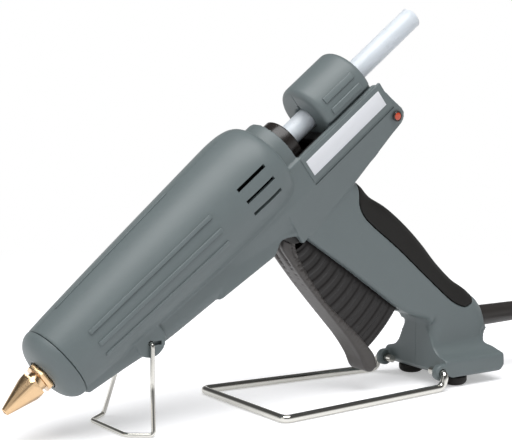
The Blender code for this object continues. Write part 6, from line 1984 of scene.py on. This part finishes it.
def make_world():
    """White backdrop, a room that is darker overhead in reflections, and an even fill."""
    world = bpy.data.worlds.new("studio_room")
    bpy.context.scene.world = world
    world.use_nodes = True
    tree = world.node_tree
    tree.nodes.clear()
    seen, path = seen_directly(tree)
    way = put(tree, "ShaderNodeTexCoord").outputs["Generated"]
    height = put(tree, "ShaderNodeSeparateXYZ", Vector=way).outputs["Z"]
    ceiling = remap(tree, height, 0.0, 0.45, 1.0, ROOM_CEILING)
    mirrored_room = math_node(tree, "MULTIPLY", path["Is Glossy Ray"], ceiling)
    plain = math_node(tree, "MAXIMUM", path["Is Camera Ray"], path["Is Transmission Ray"])
    direct = math_node(tree, "MAXIMUM", mirrored_room, plain)
    fill = math_node(tree, "MULTIPLY", math_node(tree, "SUBTRACT", 1.0, seen), ROOM_FILL)
    background = tree.nodes.new("ShaderNodeBackground")
    background.inputs["Color"].default_value = (1.0, 1.0, 1.0, 1.0)
    tree.links.new(math_node(tree, "ADD", direct, fill), background.inputs["Strength"])
    output = tree.nodes.new("ShaderNodeOutputWorld")
    tree.links.new(background.outputs[0], output.inputs["Surface"])


def make_floor():
    """White sheet that keeps the gun's soft shadow and turns into plain white away from it."""
    mesh = bpy.data.meshes.new("studio_floor")
    shape = bmesh.new()
    bmesh.ops.create_grid(shape, x_segments=1, y_segments=1, size=FLOOR_SIZE)
    shape.to_mesh(mesh)
    shape.free()
    floor = bpy.data.objects.new("studio_floor", mesh)
    bpy.context.scene.collection.objects.link(floor)
    material, tree, shader = new_finish("studio_paper")
    shader.inputs["Base Color"].default_value = FLOOR_COLOUR
    shader.inputs["Roughness"].default_value = FLOOR_ROUGHNESS
    shader.inputs["Specular IOR Level"].default_value = FLOOR_SPECULAR
    seen, _ = seen_directly(tree)
    lift = tree.nodes.new("ShaderNodeEmission")
    tree.links.new(math_node(tree, "MULTIPLY", seen, FLOOR_LIFT), lift.inputs["Strength"])
    lifted = tree.nodes.new("ShaderNodeAddShader")
    tree.links.new(shader.outputs[0], lifted.inputs[0])
    tree.links.new(lift.outputs[0], lifted.inputs[1])
    white = tree.nodes.new("ShaderNodeEmission")
    white.inputs["Strength"].default_value = 1.0
    place = put(tree, "ShaderNodeTexCoord").outputs["Object"]
    away = put(tree, "ShaderNodeVectorMath", {"operation": "LENGTH"}, Vector=place).outputs["Value"]
    share = math_node(tree, "MULTIPLY", seen, remap(tree, away, *FLOOR_FADE))
    blend = tree.nodes.new("ShaderNodeMixShader")
    tree.links.new(share, blend.inputs[0])
    tree.links.new(lifted.outputs[0], blend.inputs[1])
    tree.links.new(white.outputs[0], blend.inputs[2])
    tree.links.new(blend.outputs[0], tree.nodes["Material Output"].inputs["Surface"])
    mesh.materials.append(material)


def make_stage():
    make_camera()
    make_world()
    make_floor()
    target = Vector(CAMERA_TARGET) + SHIFT
    for name, place, size, power in SOFTBOXES:
        make_softbox(name, place, target, size, power)
    scene = bpy.context.scene
    scene.view_settings.view_transform = "Standard"


# Operators and panel

class GLUEGUN_OT_stage(Operator):
    """Set up the camera, the soft lights, the room and the pale floor"""
    bl_idname = "gluegun.stage"
    bl_label = "Studio"
    bl_options = {"REGISTER", "UNDO"}

    def execute(self, context):
        make_stage()
        return {"FINISHED"}


class GLUEGUN_OT_finishes(Operator):
    """Make the finishes and dress the pieces inside"""
    bl_idname = "gluegun.finishes"
    bl_label = "Finishes"
    bl_options = {"REGISTER", "UNDO"}

    def execute(self, context):
        make_finishes(context.scene.glue_gun_colours)
        finish_inner_nodes()
        return {"FINISHED"}


class GLUEGUN_OT_cord(Operator):
    """Lay the mains cord with its relief, coil, tie and plug"""
    bl_idname = "gluegun.cord"
    bl_label = "Cord and Plug"
    bl_options = {"REGISTER", "UNDO"}

    def execute(self, context):
        make_cord(context.scene.glue_gun_cord)
        return {"FINISHED"}


class GLUEGUN_OT_shell(Operator):
    """Mould the two halves of the housing"""
    bl_idname = "gluegun.shell"
    bl_label = "Housing Halves"
    bl_options = {"REGISTER", "UNDO"}

    def execute(self, context):
        make_shell(context.scene.glue_gun_shell)
        return {"FINISHED"}


class GLUEGUN_OT_trim(Operator):
    """Add the flank ribs, the lip on the barrel's back and the label panels"""
    bl_idname = "gluegun.trim"
    bl_label = "Ribs and Panels"
    bl_options = {"REGISTER", "UNDO"}

    def execute(self, context):
        make_trim(context.scene.glue_gun_shell)
        make_vent_shade_sheets()
        return {"FINISHED"}


class GLUEGUN_OT_grip(Operator):
    """Mould the rubber back of the handle"""
    bl_idname = "gluegun.grip"
    bl_label = "Rubber Grip"
    bl_options = {"REGISTER", "UNDO"}

    def execute(self, context):
        make_grip(context.scene.glue_gun_shell)
        return {"FINISHED"}


class GLUEGUN_OT_front(Operator):
    """Make the front cap and the brass nozzle"""
    bl_idname = "gluegun.front"
    bl_label = "Cap and Nozzle"
    bl_options = {"REGISTER", "UNDO"}

    def execute(self, context):
        make_cap()
        make_nozzle()
        return {"FINISHED"}


class GLUEGUN_OT_feed(Operator):
    """Make the inlet bush, the glue stick and the sliding collar"""
    bl_idname = "gluegun.feed"
    bl_label = "Stick and Collar"
    bl_options = {"REGISTER", "UNDO"}

    def execute(self, context):
        make_bush()
        make_stick()
        make_collar(context.scene.glue_gun_shell)
        return {"FINISHED"}


class GLUEGUN_OT_trigger(Operator):
    """Make the lever and its ribbed web"""
    bl_idname = "gluegun.trigger"
    bl_label = "Trigger"
    bl_options = {"REGISTER", "UNDO"}

    def execute(self, context):
        make_lever(context.scene.glue_gun_trigger)
        make_web(context.scene.glue_gun_trigger)
        return {"FINISHED"}


class GLUEGUN_OT_labels(Operator):
    """Make the bare label plates and the indicator lamp"""
    bl_idname = "gluegun.labels"
    bl_label = "Labels and Lamp"
    bl_options = {"REGISTER", "UNDO"}

    def execute(self, context):
        make_labels()
        make_lamp()
        return {"FINISHED"}


class GLUEGUN_OT_fasteners(Operator):
    """Make the housing screws and the rubber feet"""
    bl_idname = "gluegun.fasteners"
    bl_label = "Screws and Feet"
    bl_options = {"REGISTER", "UNDO"}

    def execute(self, context):
        make_screws()
        make_feet()
        return {"FINISHED"}


class GLUEGUN_OT_wires(Operator):
    """Bend the front bail and the rear stand"""
    bl_idname = "gluegun.wires"
    bl_label = "Wire Stands"
    bl_options = {"REGISTER", "UNDO"}

    def execute(self, context):
        make_bail()
        make_stand()
        return {"FINISHED"}


PIECES = (GLUEGUN_OT_stage, GLUEGUN_OT_finishes, GLUEGUN_OT_cord, GLUEGUN_OT_shell, GLUEGUN_OT_trim,
          GLUEGUN_OT_grip, GLUEGUN_OT_front, GLUEGUN_OT_feed, GLUEGUN_OT_trigger, GLUEGUN_OT_labels,
          GLUEGUN_OT_fasteners, GLUEGUN_OT_wires)
SETTINGS = {"glue_gun_shell": GlueGunShellSettings, "glue_gun_trigger": GlueGunTriggerSettings,
            "glue_gun_cord": GlueGunCordSettings, "glue_gun_colours": GlueGunColours}


class GLUEGUN_PT_panel(Panel):
    """Sizes, colours and pieces of the glue gun"""
    bl_idname = "GLUEGUN_PT_panel"
    bl_label = "Glue Gun"
    bl_space_type = "VIEW_3D"
    bl_region_type = "UI"
    bl_category = "Glue Gun"

    def draw(self, context):
        layout = self.layout
        for name, group in SETTINGS.items():
            settings = getattr(context.scene, name)
            column = layout.column(align=True)
            for field in group.__annotations__:
                column.prop(settings, field)
        column = layout.column(align=True)
        for piece in PIECES:
            column.operator(piece.bl_idname)


def register():
    for name, group in SETTINGS.items():
        bpy.utils.register_class(group)
        setattr(bpy.types.Scene, name, PointerProperty(type=group))
    for piece in PIECES:
        bpy.utils.register_class(piece)
    bpy.utils.register_class(GLUEGUN_PT_panel)


def unregister():
    bpy.utils.unregister_class(GLUEGUN_PT_panel)
    for piece in reversed(PIECES):
        bpy.utils.unregister_class(piece)
    for name, group in SETTINGS.items():
        delattr(bpy.types.Scene, name)
        bpy.utils.unregister_class(group)


def main():
    register()
    for piece in PIECES:
        group, action = piece.bl_idname.split(".")
        getattr(getattr(bpy.ops, group), action)()


if __name__ == "__main__":
    main()
